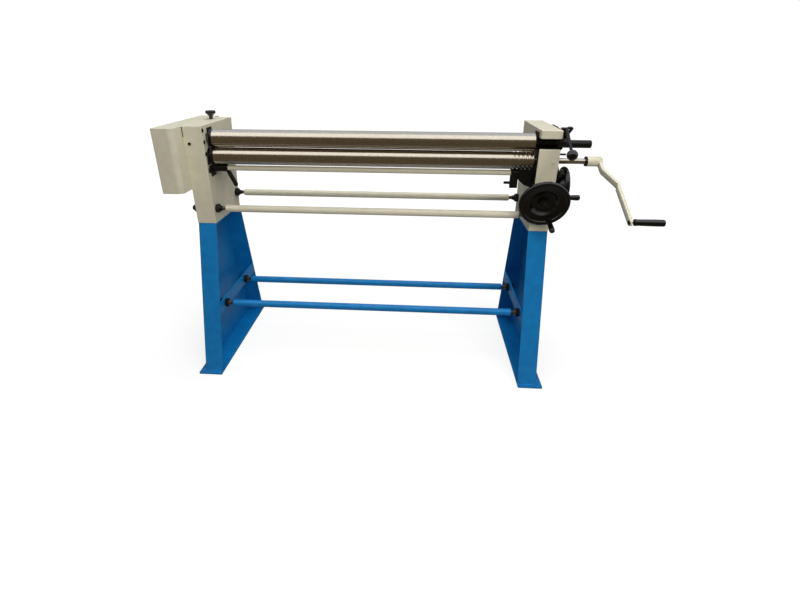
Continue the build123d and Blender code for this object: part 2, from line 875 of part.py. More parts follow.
def lower_block():
    """Lower bearing block with a round top that fills its slot."""
    half = slot_width / 2 - block_side_clearance
    start = head_inner_x + block_recess
    end = head_outer_x - block_recess
    centre_z = lower_roll_z + cam_seat_gap
    flat = block(start, end, roll_axis_y - half, roll_axis_y + half, block_foot_z, centre_z)
    body = flat + rod_x(start, end, roll_axis_y, centre_z, half)
    body = common(body, block(start, end, roll_axis_y - half, roll_axis_y + half,
                              block_foot_z, centre_z + half - roll_chamfer))
    return body - rod_x(start - overrun, end + overrun, roll_axis_y, lower_roll_z,
                        lower_journal_r + running_clearance)


def rear_block():
    """Leaning block that carries the rear roll's journal."""
    half = rear_block_length / 2
    width = rear_pocket_width - 2 * block_side_clearance
    end = head_inner_x + rear_block_thickness
    body = rear_slide_shape(width, -half, half, head_inner_x + face_gap, end)
    body = chamfer(body.edges().filter_by(Axis.X), roll_chamfer)
    return body - rod_x(head_inner_x - overrun, end + overrun, rear_roll_y, rear_roll_z,
                        rear_journal_r + running_clearance)


def lift_screws():
    """Screws under the rear blocks that raise the rear roll."""
    half = rear_block_length / 2
    screw_x = head_inner_x + rear_pocket_depth / 2
    screw = lean_rod(-half - lift_screw_length, -half, lift_screw_r, screw_x)
    return Compound([screw, mirrored(screw)])


def cross_shaft():
    """Painted cross shaft under the rolls, through both heads."""
    left_end = -(head_outer_x - block_recess)
    right_end = lift_gear_x + lift_gear_width
    return rod_x(left_end, right_end, cross_shaft_y, cross_shaft_z, cross_shaft_r)


def cam():
    """Snail cam with an even rise, lifting a lower bearing block."""
    points = []
    for number in range(cam_points + 1):
        turn = number / cam_points - 1 / 2
        radius = cam_mean_r - cam_rise_per_turn * turn
        angle = radians(90) + turn * 2 * pi
        points.append((cross_shaft_y + radius * cos(angle), cross_shaft_z + radius * sin(angle)))
    start = head_mid_x - cam_width / 2
    plate = slab_x(points, start, start + cam_width)
    return plate - rod_x(start - overrun, start + cam_width + overrun, cross_shaft_y, cross_shaft_z,
                         cross_shaft_r + seat_clearance)


def cross_bearing(length):
    """Black flanged bearing of the cross shaft on a head's inner face."""
    start = head_inner_x - length
    flange = rod_x(head_inner_x - bearing_flange_thickness, head_inner_x, cross_shaft_y, cross_shaft_z,
                   bearing_flange_r)
    barrel = rod_x(start, head_inner_x, cross_shaft_y, cross_shaft_z, cross_shaft_r * 1.6)
    body = flange + barrel
    body = common(body, block(start - overrun, head_inner_x, cross_shaft_y - bearing_flange_r,
                              cross_shaft_y + bearing_flange_r, cross_shaft_z - bearing_flange_r,
                              lower_roll_z - roll_r - overrun))
    return body - rod_x(start - overrun, head_inner_x + overrun, cross_shaft_y, cross_shaft_z,
                        cross_shaft_r + running_clearance)


def right_cross_bearing():
    """Longer right bearing with a gusset down to the head's face."""
    start = head_inner_x - right_bearing_length
    end = head_inner_x - slide_plate_thickness
    bend_x = head_inner_x - right_bearing_length * gusset_bend_share
    z = cross_shaft_z
    outline = Polyline(
        (start, z + cross_shaft_r),
        (end, z + cross_shaft_r),
        (end, z - gusset_foot_below_shaft),
        (bend_x, z - gusset_bend_below_shaft),
        (start, z - gusset_below_shaft),
        close=True,
    )
    back = Plane.XZ.offset(-cross_shaft_y - gusset_half_width)
    gusset = extrude(back * make_face(outline), amount=2 * gusset_half_width)
    bore = rod_x(start - overrun, head_inner_x + overrun, cross_shaft_y, z, cross_shaft_r + running_clearance)
    return cross_bearing(right_bearing_length) + (gusset - bore)


def left_shaft_clamp():
    """Collar on the cross shaft with a thick handle that leans inwards and down."""
    x = -(head_inner_x - left_collar_from_head)
    half = left_collar_width / 2
    collar = rod_x(x - half, x + half, cross_shaft_y, cross_shaft_z, shaft_collar_r)
    start = Vector(x, cross_shaft_y, cross_shaft_z)
    end = Vector(x + left_handle_inward, cross_shaft_y, cross_shaft_z - left_handle_drop)
    return collar + round_bar(start, end, left_handle_r) + Pos(end.X, end.Y, end.Z) * Sphere(left_handle_r)


def right_shaft_clamp():
    """Broad clamp that hangs below the cross shaft, with a short pin towards the middle."""
    end_x = head_inner_x - right_bearing_length - face_gap * 2
    start_x = end_x - right_clamp_width
    y = cross_shaft_y
    foot_z = cross_shaft_z - right_clamp_drop
    collar = rod_x(start_x, end_x, y, cross_shaft_z, shaft_collar_r)
    lug = block(start_x, end_x, y - right_clamp_end_r, y + right_clamp_end_r, foot_z, cross_shaft_z)
    foot = rod_x(start_x, end_x, y, foot_z, right_clamp_end_r)
    middle_x = (start_x + end_x) / 2
    pin = rod_x(start_x - right_pin_length, middle_x, y, cross_shaft_z - right_pin_drop, right_pin_r)
    return collar + lug + foot + pin


def shaft_pins():
    """Clamps near both ends of the cross shaft, bored for the shaft."""
    bore = rod_x(-head_inner_x, head_inner_x, cross_shaft_y, cross_shaft_z, cross_shaft_r + seat_clearance)
    return Compound([left_shaft_clamp() - bore, right_shaft_clamp() - bore])


def mesh_angle(y_from, z_from, y_to, z_to):
    """Direction from one gear's axis to the other's, in degrees."""
    return degrees(atan2(z_to - z_from, y_to - y_from))


def lift_gear():
    """Gear on the cross shaft behind the side handwheel."""
    towards = mesh_angle(cross_shaft_y, cross_shaft_z, side_wheel_y, side_wheel_z)
    start = lift_gear_x
    gear = gear_x(lift_module, lift_gear_teeth, towards, start, start + lift_gear_width,
                  cross_shaft_y, cross_shaft_z)
    return gear - rod_x(start - overrun, start + lift_gear_width + overrun, cross_shaft_y, cross_shaft_z,
                        cross_shaft_r + seat_clearance)


def side_pinion():
    """Pinion in one piece with the side handwheel's shaft."""
    towards = mesh_angle(side_wheel_y, side_wheel_z, cross_shaft_y, cross_shaft_z)
    phase = towards + 180 / lift_pinion_teeth
    start = lift_gear_x
    gear = gear_x(lift_module, lift_pinion_teeth, phase, start, start + lift_gear_width,
                  side_wheel_y, side_wheel_z)
    shaft_start = head_outer_x - side_shaft_bore_depth + face_gap
    shaft_end = head_outer_x + side_wheel_offset
    return gear + rod_x(shaft_start, shaft_end, side_wheel_y, side_wheel_z, wheel_shaft_r)


def drive_gear(teeth_phase, z, bore_r, hub_side):
    """Spur gear of the roll drive, with its hub on one side."""
    near = -(head_outer_x + drive_gear_gap)
    far = near - drive_gear_width
    gear = gear_x(drive_module, drive_teeth, teeth_phase, far, near, roll_axis_y, z)
    if hub_side > 0:
        gear += rod_x(near, -(head_outer_x - drive_hub_length), roll_axis_y, z, drive_hub_r)
    return gear - rod_x(far - overrun, -(head_outer_x - drive_hub_length - overrun), roll_axis_y, z, bore_r)


def lower_gear():
    """Driving gear on the lower roll."""
    return drive_gear(90, lower_roll_z, crank_shaft_r + seat_clearance, 0)


def upper_gear():
    """Driven gear with a hollow hub that the roll's tail reaches into loosely."""
    reach = (head_width / 2 + drive_gear_gap + drive_hub_length) * sin(radians(swing_angle))
    return drive_gear(-90 + 180 / drive_teeth, upper_roll_z, roll_tail_r + reach, 1)


def gear_bush():
    """Flanged bush on the left head that carries the driven gear's hub."""
    near = -head_outer_x
    flange = rod_x(near - drive_gear_gap + face_gap, near, roll_axis_y, upper_roll_z, gear_bush_r)
    return flange - rod_x(near - overrun * 2, near + overrun, roll_axis_y, upper_roll_z,
                          drive_hub_r + running_clearance)


def handwheel(radius, hub_back, hub_front, bore_r):
    """Dished handwheel about Z; z = 0 is the middle of the rim, the user is at +Z."""
    ring_r = radius - wheel_rim_r
    web_points = [
        (wheel_hub_r - overrun, -wheel_dish),
        (wheel_hub_r, -wheel_dish),
        (ring_r, -wheel_web / 2),
        (ring_r, wheel_web / 2),
        (wheel_hub_r, wheel_web - wheel_dish),
        (wheel_hub_r - overrun, wheel_web - wheel_dish),
    ]
    web = revolve(Plane.XZ * make_face(Polyline(*web_points, close=True)), Axis.Z)
    hub_length = hub_back + hub_front
    hub = Pos(0, 0, (hub_front - hub_back) / 2) * Cylinder(wheel_hub_r, hub_length)
    wheel = web + hub + Torus(ring_r, wheel_rim_r)
    boss = Pos(0, -(radius - handle_from_rim), 0) * Cylinder(wheel_boss_r, wheel_rim_r * 2)
    wheel += boss
    pin_place = Pos(0, -(radius - handle_from_rim), 0)
    hole = pin_place * Cylinder(handle_pin_r + running_clearance, wheel_rim_r * 4)
    wheel -= hole
    return wheel - Pos(0, 0, -hub_back / 2) * Cylinder(bore_r, hub_back + overrun)


def handle(radius, length):
    """Turning handle of a handwheel on its own pin."""
    base = wheel_rim_r + face_gap
    profile = [
        (0, base),
        (handle_neck_r, base),
        (handle_neck_r * 1.1, base + length * 0.12),
        (handle_belly_r * 0.96, base + length * 0.5),
        (handle_belly_r, base + length * 0.72),
        (handle_belly_r * 0.8, base + length * 0.93),
        (handle_belly_r * 0.3, base + length),
        (0, base + length),
    ]
    grip = revolve(Plane.XZ * make_face(Polyline(*profile, close=True)), Axis.Z)
    pin_back = -wheel_rim_r - 1
    pin = Pos(0, 0, (base + pin_back) / 2) * Cylinder(handle_pin_r, base - pin_back)
    return Pos(0, -(radius - handle_from_rim), 0) * (grip + pin)


def side_place():
    """Placement of the side handwheel: its axis along +X."""
    rim_x = head_outer_x + side_wheel_offset
    return Pos(rim_x, side_wheel_y, side_wheel_z) * Rot(0, 90, 0) * Rot(0, 0, side_handle_angle)


def front_axis_place():
    """Place where the front handwheel's axis leaves the head, +Z pointing outwards."""
    y = front_y(front_wheel_axis_z)
    x = head_mid_x + front_wheel_x_shift
    return Pos(x, y, front_wheel_axis_z) * Rot(90 + front_wheel_tilt, 0, 0)


def front_place():
    """Placement of the front handwheel."""
    return front_axis_place() * Pos(0, 0, front_wheel_offset) * Rot(0, 0, front_handle_angle)


def side_wheel():
    """Side handwheel with its hub over the pinion's shaft."""
    hub_back = side_wheel_offset - lift_gear_gap - lift_gear_width - face_gap
    wheel = handwheel(side_wheel_r, hub_back, wheel_hub_front, wheel_shaft_r + seat_clearance)
    return side_place() * wheel


def front_wheel():
    """Front handwheel on its leaning spindle."""
    hub_back = front_wheel_offset - wheel_hub_r * sin(radians(front_wheel_tilt)) - face_gap
    wheel = handwheel(front_wheel_r, hub_back, wheel_hub_front, wheel_shaft_r + seat_clearance)
    return front_place() * wheel


def front_spindle():
    """Spindle of the front handwheel inside the right head."""
    start = -front_shaft_bore_depth + face_gap
    length = front_wheel_offset - start
    return front_axis_place() * Pos(0, 0, start + length / 2) * Cylinder(wheel_shaft_r, length)


def crank_point(along, x):
    """A point on the crank, measured along the arm from the shaft's axis."""
    swing = radians(crank_angle)
    return (x, roll_axis_y - along * sin(swing), lower_roll_z - along * cos(swing))


def crank_place():
    """Frame of the crank arm: X stays, -Z runs along the arm."""
    return Pos(0, roll_axis_y, lower_roll_z) * Rot(-crank_angle, 0, 0)


def crank_arm():
    """Crank arm of flat bar with two bends, in one piece with its hub."""
    half = crank_bar_thickness / 2
    outer_x = crank_bar_x + crank_bar_shift
    bend = atan2(crank_bar_shift, crank_second_bend - crank_first_bend)
    shift = half * sin(bend / 2) / cos(bend / 2)
    end = crank_length + crank_bar_width / 2
    points = [
        (crank_bar_x - half, 0),
        (crank_bar_x - half, -crank_first_bend - shift),
        (outer_x - half, -crank_second_bend - shift),
        (outer_x - half, -end),
        (outer_x + half, -end),
        (outer_x + half, -crank_second_bend + shift),
        (crank_bar_x + half, -crank_first_bend + shift),
        (crank_bar_x + half, 0),
    ]
    face = Plane.XZ * make_face(Polyline(*points, close=True))
    bar = extrude(face, amount=crank_bar_width / 2, both=True)
    tips = bar.edges().filter_by(Axis.X).group_by(Axis.Z)[0]
    bar = fillet(tips, crank_bar_width / 2 - face_gap)
    hub = rod_x(crank_hub_start_x, crank_hub_end_x, 0, 0, crank_hub_r)
    hub = chamfer(hub.edges().filter_by(GeomType.CIRCLE), roll_chamfer)
    arm = bar + hub
    arm -= rod_x(crank_hub_start_x - overrun, crank_shaft_end_x, 0, 0, crank_shaft_r + seat_clearance)
    arm -= rod_x(outer_x - crank_bar_width, outer_x + crank_bar_width, 0, -crank_length,
                 crank_bolt_r + seat_clearance)
    return crank_place() * arm


def crank_bolt():
    """Bolt that carries the crank grip."""
    outer_x = crank_bar_x + crank_bar_shift
    inner_face = outer_x - crank_bar_thickness / 2
    grip_end = outer_x + crank_bar_thickness / 2 + crank_grip_length - crank_grip_wall
    head = rod_x(inner_face - crank_bolt_head, inner_face, 0, -crank_length, crank_bolt_head_r)
    shank = rod_x(inner_face, grip_end - face_gap, 0, -crank_length, crank_bolt_r)
    return crank_place() * (head + shank)


def crank_grip():
    """Grip that turns on the crank bolt."""
    start = crank_bar_x + crank_bar_shift + crank_bar_thickness / 2 + face_gap
    end = start + crank_grip_length
    bore_end = end - crank_grip_wall
    grip = rod_x(start, end, 0, -crank_length, crank_grip_r)
    grip = chamfer(grip.edges().filter_by(GeomType.CIRCLE), roll_chamfer)
    grip -= rod_x(start - overrun, bore_end, 0, -crank_length, crank_bolt_r + running_clearance)
    return crank_place() * grip


def gear_cover():
    """Cover over the gears: slanted front, rounded inner front edge, open to the head."""
    near = -head_outer_x
    far = near - cover_width
    ahead = cover_ahead_of_head
    outline = [
        (front_y(cover_foot_z) - ahead, cover_foot_z),
        (cover_back_y, cover_foot_z),
        (cover_back_y, head_top_z),
        (front_y(head_top_z) - ahead, head_top_z),
    ]
    shell = slab_x(outline, far, near)

    def upright_front_edges():
        return [e for e in shell.edges()
                if e.center().Y < head_front_top_y and abs(e.tangent_at(0).Z) > abs(e.tangent_at(0).X)]

    near_edge = [e for e in upright_front_edges() if e.center().X > near - cover_wall]
    shell = fillet(near_edge, cover_edge_round)
    far_edge = [e for e in upright_front_edges() if e.center().X < far + cover_wall]
    shell = fillet(far_edge, cover_edge_round / 4)
    low = cover_foot_z + cover_wall
    high = head_top_z - cover_wall
    inner = [
        (front_y(low) - ahead + cover_wall, low),
        (cover_back_y - cover_wall, low),
        (cover_back_y - cover_wall, high),
        (front_y(high) - ahead + cover_wall, high),
    ]
    shell -= slab_x(inner, far + cover_wall, near - cover_edge_round - cover_wall)
    mouth = [
        (front_y(low) + head_edge, low),
        (head_back_y - head_edge, low),
        (head_back_y - head_edge, high),
        (front_y(high) + head_edge, high),
    ]
    shell -= slab_x(mouth, far + cover_wall, near + overrun)
    return shell


def cover_screw():
    """Black screw in the front face of the left head, close to the cover's seam."""
    z = upper_roll_z - roll_r / 2
    x = -(head_outer_x - cover_screw_from_seam)
    place = Pos(x, front_y(z), z) * Rot(90 + degrees(atan2(-head_slope, 1)), 0, 0)
    return place * Pos(0, 0, cover_screw_r / 3) * Cylinder(cover_screw_r, cover_screw_r * 2 / 3)


def front_plug():
    """Small pale plug in the front face of the right head."""
    z = lower_roll_z
    place = Pos(head_mid_x + head_width / 4, front_y(z), z) * Rot(90 + degrees(atan2(-head_slope, 1)), 0, 0)
    return place * Pos(0, 0, cover_screw_r / 4) * Cylinder(cover_screw_r, cover_screw_r / 2)


def top_knob():
    """Black knob with a flat top on the left head."""
    profile = [
        (0, -knob_stem_length + face_gap),
        (knob_stem_r, -knob_stem_length + face_gap),
        (knob_stem_r, 0),
        (knob_neck_r, face_gap),
        (knob_neck_r, knob_height - knob_disc - knob_disc_r / 2),
        (knob_disc_r, knob_height - knob_disc),
        (knob_disc_r, knob_height),
        (0, knob_height),
    ]
    knob = revolve(Plane.XZ * make_face(Polyline(*profile, close=True)), Axis.Z)
    return Pos(knob_x, knob_y, head_top_z) * knob


def rear_bar():
    """Plain black bar with a hexagon collar on the right head."""
    start = head_outer_x
    end = start + rear_bar_length
    collar = hex_bar_x(start, start + rear_bar_collar, rear_bar_y, rear_bar_z, rear_bar_collar_flats)
    bar = rod_x(start, end, rear_bar_y, rear_bar_z, rear_bar_r)
    bar = chamfer(bar.edges().filter_by(GeomType.CIRCLE).sort_by(Axis.X)[-1], roll_chamfer)
    spigot = rod_x(start - rail_block + face_gap, start, rear_bar_y, rear_bar_z, rear_bar_r / 2)
    return collar + bar + spigot


def rail_bar():
    """Black bar along the top of the right head's outer face, with its block and grip end."""
    x = head_outer_x + rail_stand_off
    z = head_top_z - rail_below_top
    length = rail_rear_y - rail_front_y
    middle = (rail_front_y + rail_rear_y) / 2
    bar = Pos(x, middle, z) * Rot(90, 0, 0) * Cylinder(rail_r, length)
    grip_y = rail_rear_y - rail_grip_length / 2
    grip = Pos(x, grip_y, z) * Rot(90, 0, 0) * Cylinder(rail_grip_r, rail_grip_length)
    foot = block(head_outer_x, x + rail_block_beyond_bar, rail_front_y, rail_front_y + rail_block,
                 z - rail_block / 2, z + rail_block / 3)
    rear_foot = block(head_outer_x, x, grip_y - rail_r, grip_y + rail_r, z - rail_r, z + rail_r)
    return bar + grip + foot + rear_foot


def lever_pin():
    """Pin in the right head that the ball lever turns on."""
    start = head_outer_x - rail_block + face_gap
    end = head_outer_x + rail_stand_off + rail_r + lever_drum_length
    return rod_x(start, end, lever_axis_y, lever_axis_z, lever_pin_r)


def latch_bracket():
    """Hooked plate on the right head's outer face with the latch arm's pin."""
    y, z = latch_axis_y, latch_axis_z
    outline = [(y + across, z + up) for across, up in bracket_shape]
    plate = slab_x(outline, head_outer_x, head_outer_x + bracket_thickness)
    plate += rod_x(head_outer_x, head_outer_x + bracket_thickness, y, z, latch_eye_r)
    pin_end = head_outer_x + bracket_thickness + latch_arm_thickness + bracket_thickness / 2
    plate += rod_x(head_outer_x + bracket_thickness, pin_end, y, z, latch_pin_r)
    return plate + rod_x(pin_end, pin_end + latch_pin_tail, y, z, latch_pin_tail_r)


def latch_arm():
    """Cast latch arm: eye on the bracket's pin, jaw over the upper roll's bush."""
    start = head_outer_x + bracket_thickness + face_gap
    end = start + latch_arm_thickness - face_gap
    y, z = latch_axis_y, latch_axis_z
    reach_y = y - roll_axis_y
    reach_z = z - upper_roll_z
    reach = hypot(reach_y, reach_z)
    along = (reach_y / reach, reach_z / reach)
    bore_r = end_section_r + latch_saddle_gap
    jaw_r = bore_r + latch_jaw_wall

    def point(a, b):
        return (roll_axis_y + along[0] * a - along[1] * b, upper_roll_z + along[1] * a + along[0] * b)

    half = latch_arm_half_height
    arm = slab_x([point(0, -half), point(0, half), point(reach, half), point(reach, -half)], start, end)
    arm += rod_x(start, end, roll_axis_y, upper_roll_z, jaw_r)
    arm += rod_x(start, end, y, z, latch_eye_r)
    top = radians(latch_jaw_top_angle) - atan2(along[1], along[0])
    far = jaw_r * 2
    lip = bore_r + latch_jaw_relief
    cut = [point(0, 0), point(lip, 0), point(lip, -far), point(-far, -far), point(-far, far),
           point(far * cos(top), far * sin(top))]
    arm -= slab_x(cut, start - overrun, end + overrun)
    arm -= rod_x(start - overrun, end + overrun, roll_axis_y, upper_roll_z, bore_r)
    return arm - rod_x(start - overrun, end + overrun, y, z, latch_pin_r + running_clearance)


def lever_rod():
    """Ball lever: drum on its pin, rod swept up to the elbow and down to the ball."""
    inner_x = head_outer_x + rail_stand_off + rail_r + face_gap
    outer_x = inner_x + lever_drum_length
    drum = rod_x(inner_x, outer_x, lever_axis_y, lever_axis_z, lever_drum_r)
    arm_x = inner_x + lever_rod_r * 1.5
    path = FilletPolyline(
        (arm_x, lever_axis_y, lever_axis_z),
        (arm_x, lever_elbow_y, lever_elbow_z),
        (lever_rod_x, lever_elbow_y, lever_elbow_z),
        (lever_rod_x, ball_y, ball_z),
        radius=lever_bend_r,
    )
    section = Plane(origin=path @ 0, z_dir=path % 0) * Circle(lever_rod_r)
    body = drum + sweep(section, path=path)
    body -= rod_x(inner_x - overrun, outer_x + overrun, lever_axis_y, lever_axis_z,
                  lever_pin_r + running_clearance)
    return body - Pos(lever_rod_x, ball_y, ball_z) * Sphere(ball_r)


def round_bar(start, end, radius):
    """Round bar between two points."""
    direction = end - start
    middle = (start + end) * 0.5
    plane = Plane(origin=(middle.X, middle.Y, middle.Z), z_dir=(direction.X, direction.Y, direction.Z))
    return plane * Cylinder(radius, direction.length)


def ball_knob():
    """Ball knob of the lever."""
    return Pos(lever_rod_x, ball_y, ball_z) * Sphere(ball_r)


def all_parts():
    """Every node of the machine by name."""
    right_leg = leg()
    right_strap = strap()
    right_block = lower_block()
    right_rear_block = rear_block()
    right_cam = cam()
    return {
        "left_leg": mirrored(right_leg),
        "right_leg": right_leg,
        "left_strap": mirrored(right_strap),
        "right_strap": right_strap,
        "stand_rod_front": tie_rod(stand_rod_places[0], stand_rod_r, stand_stud_bare_length),
        "stand_rod_rear": tie_rod(stand_rod_places[1], stand_rod_r, stand_stud_bare_length),
        "stand_rod_studs": studs(stand_rod_places, stand_stud_bare_length,
                                 strap_thickness + nut_thickness + stud_r / 2),
        "stand_rod_nuts": stand_nuts(),
        "left_head": left_head(),
        "right_head": right_head(),
        "head_rod_front": tie_rod(head_rod_places[0], head_rod_r, head_stud_bare_length),
        "head_rod_rear": tie_rod(head_rod_places[1], head_rod_r, head_stud_bare_length),
        "head_rod_studs": studs(head_rod_places, head_stud_bare_length, head_width + dome_skirt - face_gap),
        "head_rod_nuts": head_nuts(),
        "head_dome_nuts": dome_nuts(),
        "leg_bolts": leg_bolts(),
        "gear_cover": gear_cover(),
        "front_plug": front_plug(),
        "face_screws": face_screws(),
        "left_slide_plate": left_slide_plate(),
        "right_slide_plate": right_slide_plate(),
        "pocket_liner": pocket_liner(),
        "gear_bush": gear_bush(),
        "left_cross_bearing": mirrored(cross_bearing(left_bearing_length)),
        "right_cross_bearing": right_cross_bearing(),
        "latch_bracket": latch_bracket(),
        "lever_pin": lever_pin(),
        "rail_bar": rail_bar(),
        "rear_bar": rear_bar(),
        "swing_yoke": swing_yoke(),
        "upper_roll": upper_roll(),
        "upper_roll_bush": upper_bush(),
        "left_lower_block": mirrored(right_block),
        "right_lower_block": right_block,
        "lower_roll": lower_roll(),
        "crank_shaft": crank_shaft(),
        "lower_gear": lower_gear(),
        "upper_gear": upper_gear(),
        "crank_arm": crank_arm(),
        "crank_bolt": crank_bolt(),
        "crank_grip": crank_grip(),
        "left_rear_block": mirrored(right_rear_block),
        "right_rear_block": right_rear_block,
        "lift_screws": lift_screws(),
        "rear_roll": rear_roll(),
        "cross_shaft": cross_shaft(),
        "left_cam": mirrored(right_cam),
        "right_cam": right_cam,
        "shaft_pins": shaft_pins(),
        "lift_gear": lift_gear(),
        "side_pinion": side_pinion(),
        "side_wheel": side_wheel(),
        "side_handle": side_place() * handle(side_wheel_r, side_handle_length),
        "front_wheel": front_wheel(),
        "front_spindle": front_spindle(),
        "front_handle": front_place() * handle(front_wheel_r, front_handle_length),
        "latch_arm": latch_arm(),
        "lever_rod": lever_rod(),
        "ball_knob": ball_knob(),
        "top_knob": top_knob(),
    }


os.makedirs("parts", exist_ok=True)
for name, shape in all_parts().items():
    export_step(shape, "parts/" + name + ".step")
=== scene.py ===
import bpy
import json
import math
from mathutils import Matrix, Vector


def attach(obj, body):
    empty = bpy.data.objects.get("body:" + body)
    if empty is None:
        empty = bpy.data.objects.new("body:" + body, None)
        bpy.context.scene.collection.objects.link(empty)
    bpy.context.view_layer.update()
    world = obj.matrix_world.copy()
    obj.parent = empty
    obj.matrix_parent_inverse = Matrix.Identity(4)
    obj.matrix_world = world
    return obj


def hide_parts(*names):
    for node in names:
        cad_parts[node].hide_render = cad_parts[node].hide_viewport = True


MM = 0.001
X, Y, Z = Vector((1, 0, 0)), Vector((0, 1, 0)), Vector((0, 0, 1))

# Lines and faces that the dressed pieces share with the solids, in mm
HEAD_INNER_X = 662.5
STAND_RODS = ((-196, 296), (77, 296))
HEAD_RODS = ((-178, 739), (74, 748))
ROLL_R, ROLL_HALF = 35.0, 650.5
ROLL_Y, UPPER_ROLL_Z, LOWER_ROLL_Z = -183, 1037.4, 965.4
REAR_ROLL_Y, REAR_ROLL_Z = -100, 951
CROSS_SHAFT_Y, CROSS_SHAFT_Z = -175, 913.9
SIDE_WHEEL = (782.5, -183, 867.9918)
FRONT_WHEEL_FOOT, FRONT_WHEEL_TILT, FRONT_WHEEL_REACH = (698.5, -215.657, 824), 18, 47
CRANK_RADIUS = 336
LEVER_Y, LEVER_Z = -135, 1044
TOP_KNOB = (-722, 22, 1090)

# Sides of a lathe piece, by its size and by how near the eye gets, and of a bent bar
ROLL_SIDES, WHEEL_SIDES, ROUND_SIDES, KNOB_SIDES, GRIP_SIDES = 128, 120, 96, 72, 64
BOSS_SIDES, THREAD_SIDES, PIN_SIDES, HEX_SIDES = 48, 40, 32, 6
BAR_SIDES, BEND_STEPS = 24, 8

# Angles in degrees: faces within the first are one flat face, an edge over the second is broken, and
# one over the third stays a crease, or over the fourth on a piece with fine steps
FLAT_WITHIN, BREAK_FROM, CREASE_FROM, FINE_CREASE_FROM = 0.5, 30, 35, 28

# Vertices closer than this are one, in m: in a lathe piece or bar, and in a copy of a solid
OWN_WELD, SOLID_WELD = 0.000002, 0.00002

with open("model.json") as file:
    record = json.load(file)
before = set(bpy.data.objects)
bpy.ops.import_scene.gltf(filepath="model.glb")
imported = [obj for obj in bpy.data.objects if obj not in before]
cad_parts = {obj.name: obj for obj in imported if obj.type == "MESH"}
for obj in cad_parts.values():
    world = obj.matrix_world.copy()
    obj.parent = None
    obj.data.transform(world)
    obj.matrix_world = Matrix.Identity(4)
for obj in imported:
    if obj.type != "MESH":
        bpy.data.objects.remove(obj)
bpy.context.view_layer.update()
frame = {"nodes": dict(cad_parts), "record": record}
BODY_OF = {node: body for body, nodes in frame["record"]["behaviour"]["bodies"].items() for node in nodes}
SLOT_OF = {part["node"]: part["material_slot"] for part in frame["record"]["subparts"]}


# ---------------------------------------------------------------- materials

def linear(hex_colour):
    """An sRGB hex value as Blender's linear colour."""
    channels = [int(hex_colour[i:i + 2], 16) / 255 for i in (1, 3, 5)]
    low = [c / 12.92 if c <= 0.04045 else ((c + 0.055) / 1.055) ** 2.4 for c in channels]
    return (*low, 1.0)


def add(tree, kind, links=None, sockets=None, stops=None, **settings):
    """Adds a shader node, sets its properties, sockets and colour stops, and links its inputs."""
    n = tree.nodes.new(kind)
    for key, value in settings.items():
        setattr(n, key, value)
    for key, value in (sockets or {}).items():
        n.inputs[key].default_value = value
    for key, source in (links or {}).items():
        tree.links.new(source.outputs[0] if hasattr(source, "outputs") else source, n.inputs[key])
    if stops:
        while len(n.color_ramp.elements) < len(stops):
            n.color_ramp.elements.new(0.5)
        for element, (place, colour) in zip(n.color_ramp.elements, stops):
            element.position = place
            element.color = linear(colour)
    return n


def blank_material(name):
    """A new material with an empty tree."""
    material = bpy.data.materials.new(name)
    material.use_nodes = True
    material.node_tree.nodes.clear()
    return material, material.node_tree


def per_mm(size_mm):
    """Mapping scale of a pattern whose features are size_mm wide."""
    return (1 / MM / size_mm,) * 3


def finished(material, colour, rough, bump, sockets):
    """Closes a material's tree with its surface shader."""
    tree = material.node_tree
    links = {"Base Color": colour, "Roughness": rough, "Normal": bump}
    shader = add(tree, "ShaderNodeBsdfPrincipled", links, sockets)
    add(tree, "ShaderNodeOutputMaterial", {"Surface": shader})
    return material


def enamel(name, main, light, dull, roughness, peel_mm, drift_mm=180, wave_mm=45, patch_mm=60):
    """Sprayed and stoved machine enamel. The eye gets a soft even gloss that breaks up over fine
    orange peel, a faint drift of the colour, and duller patches where hands and rags have been."""
    material, tree = blank_material(name)
    place = add(tree, "ShaderNodeTexCoord").outputs["Object"]
    wide = add(tree, "ShaderNodeMapping", {"Vector": place}, {"Scale": per_mm(drift_mm)})
    drift = add(tree, "ShaderNodeTexNoise", {"Vector": wide}, {"Detail": 3.0})
    colour = add(tree, "ShaderNodeValToRGB", {"Fac": drift},
                 stops=[(0.33, dull), (0.5, main), (0.67, light)])
    fine = add(tree, "ShaderNodeMapping", {"Vector": place}, {"Scale": per_mm(peel_mm)})
    peel = add(tree, "ShaderNodeTexNoise", {"Vector": fine}, {"Detail": 2.0})
    long = add(tree, "ShaderNodeMapping", {"Vector": place}, {"Scale": per_mm(wave_mm)})
    waves = add(tree, "ShaderNodeTexNoise", {"Vector": long}, {"Detail": 1.0})
    both = add(tree, "ShaderNodeMath", {0: peel, 1: waves}, operation="ADD")
    bump = add(tree, "ShaderNodeBump", {"Height": both}, {"Strength": 0.1, "Distance": 0.0003})
    rubbed = add(tree, "ShaderNodeMapping", {"Vector": place}, {"Scale": per_mm(patch_mm)})
    patches = add(tree, "ShaderNodeTexNoise", {"Vector": rubbed}, {"Detail": 4.0})
    rough = add(tree, "ShaderNodeMapRange", {"Value": patches},
                {"To Min": roughness - 0.08, "To Max": roughness + 0.1})
    return finished(material, colour, rough, bump,
                    {"IOR": 1.5, "Specular IOR Level": 0.38, "Coat Weight": 0.06, "Coat Roughness": 0.15})


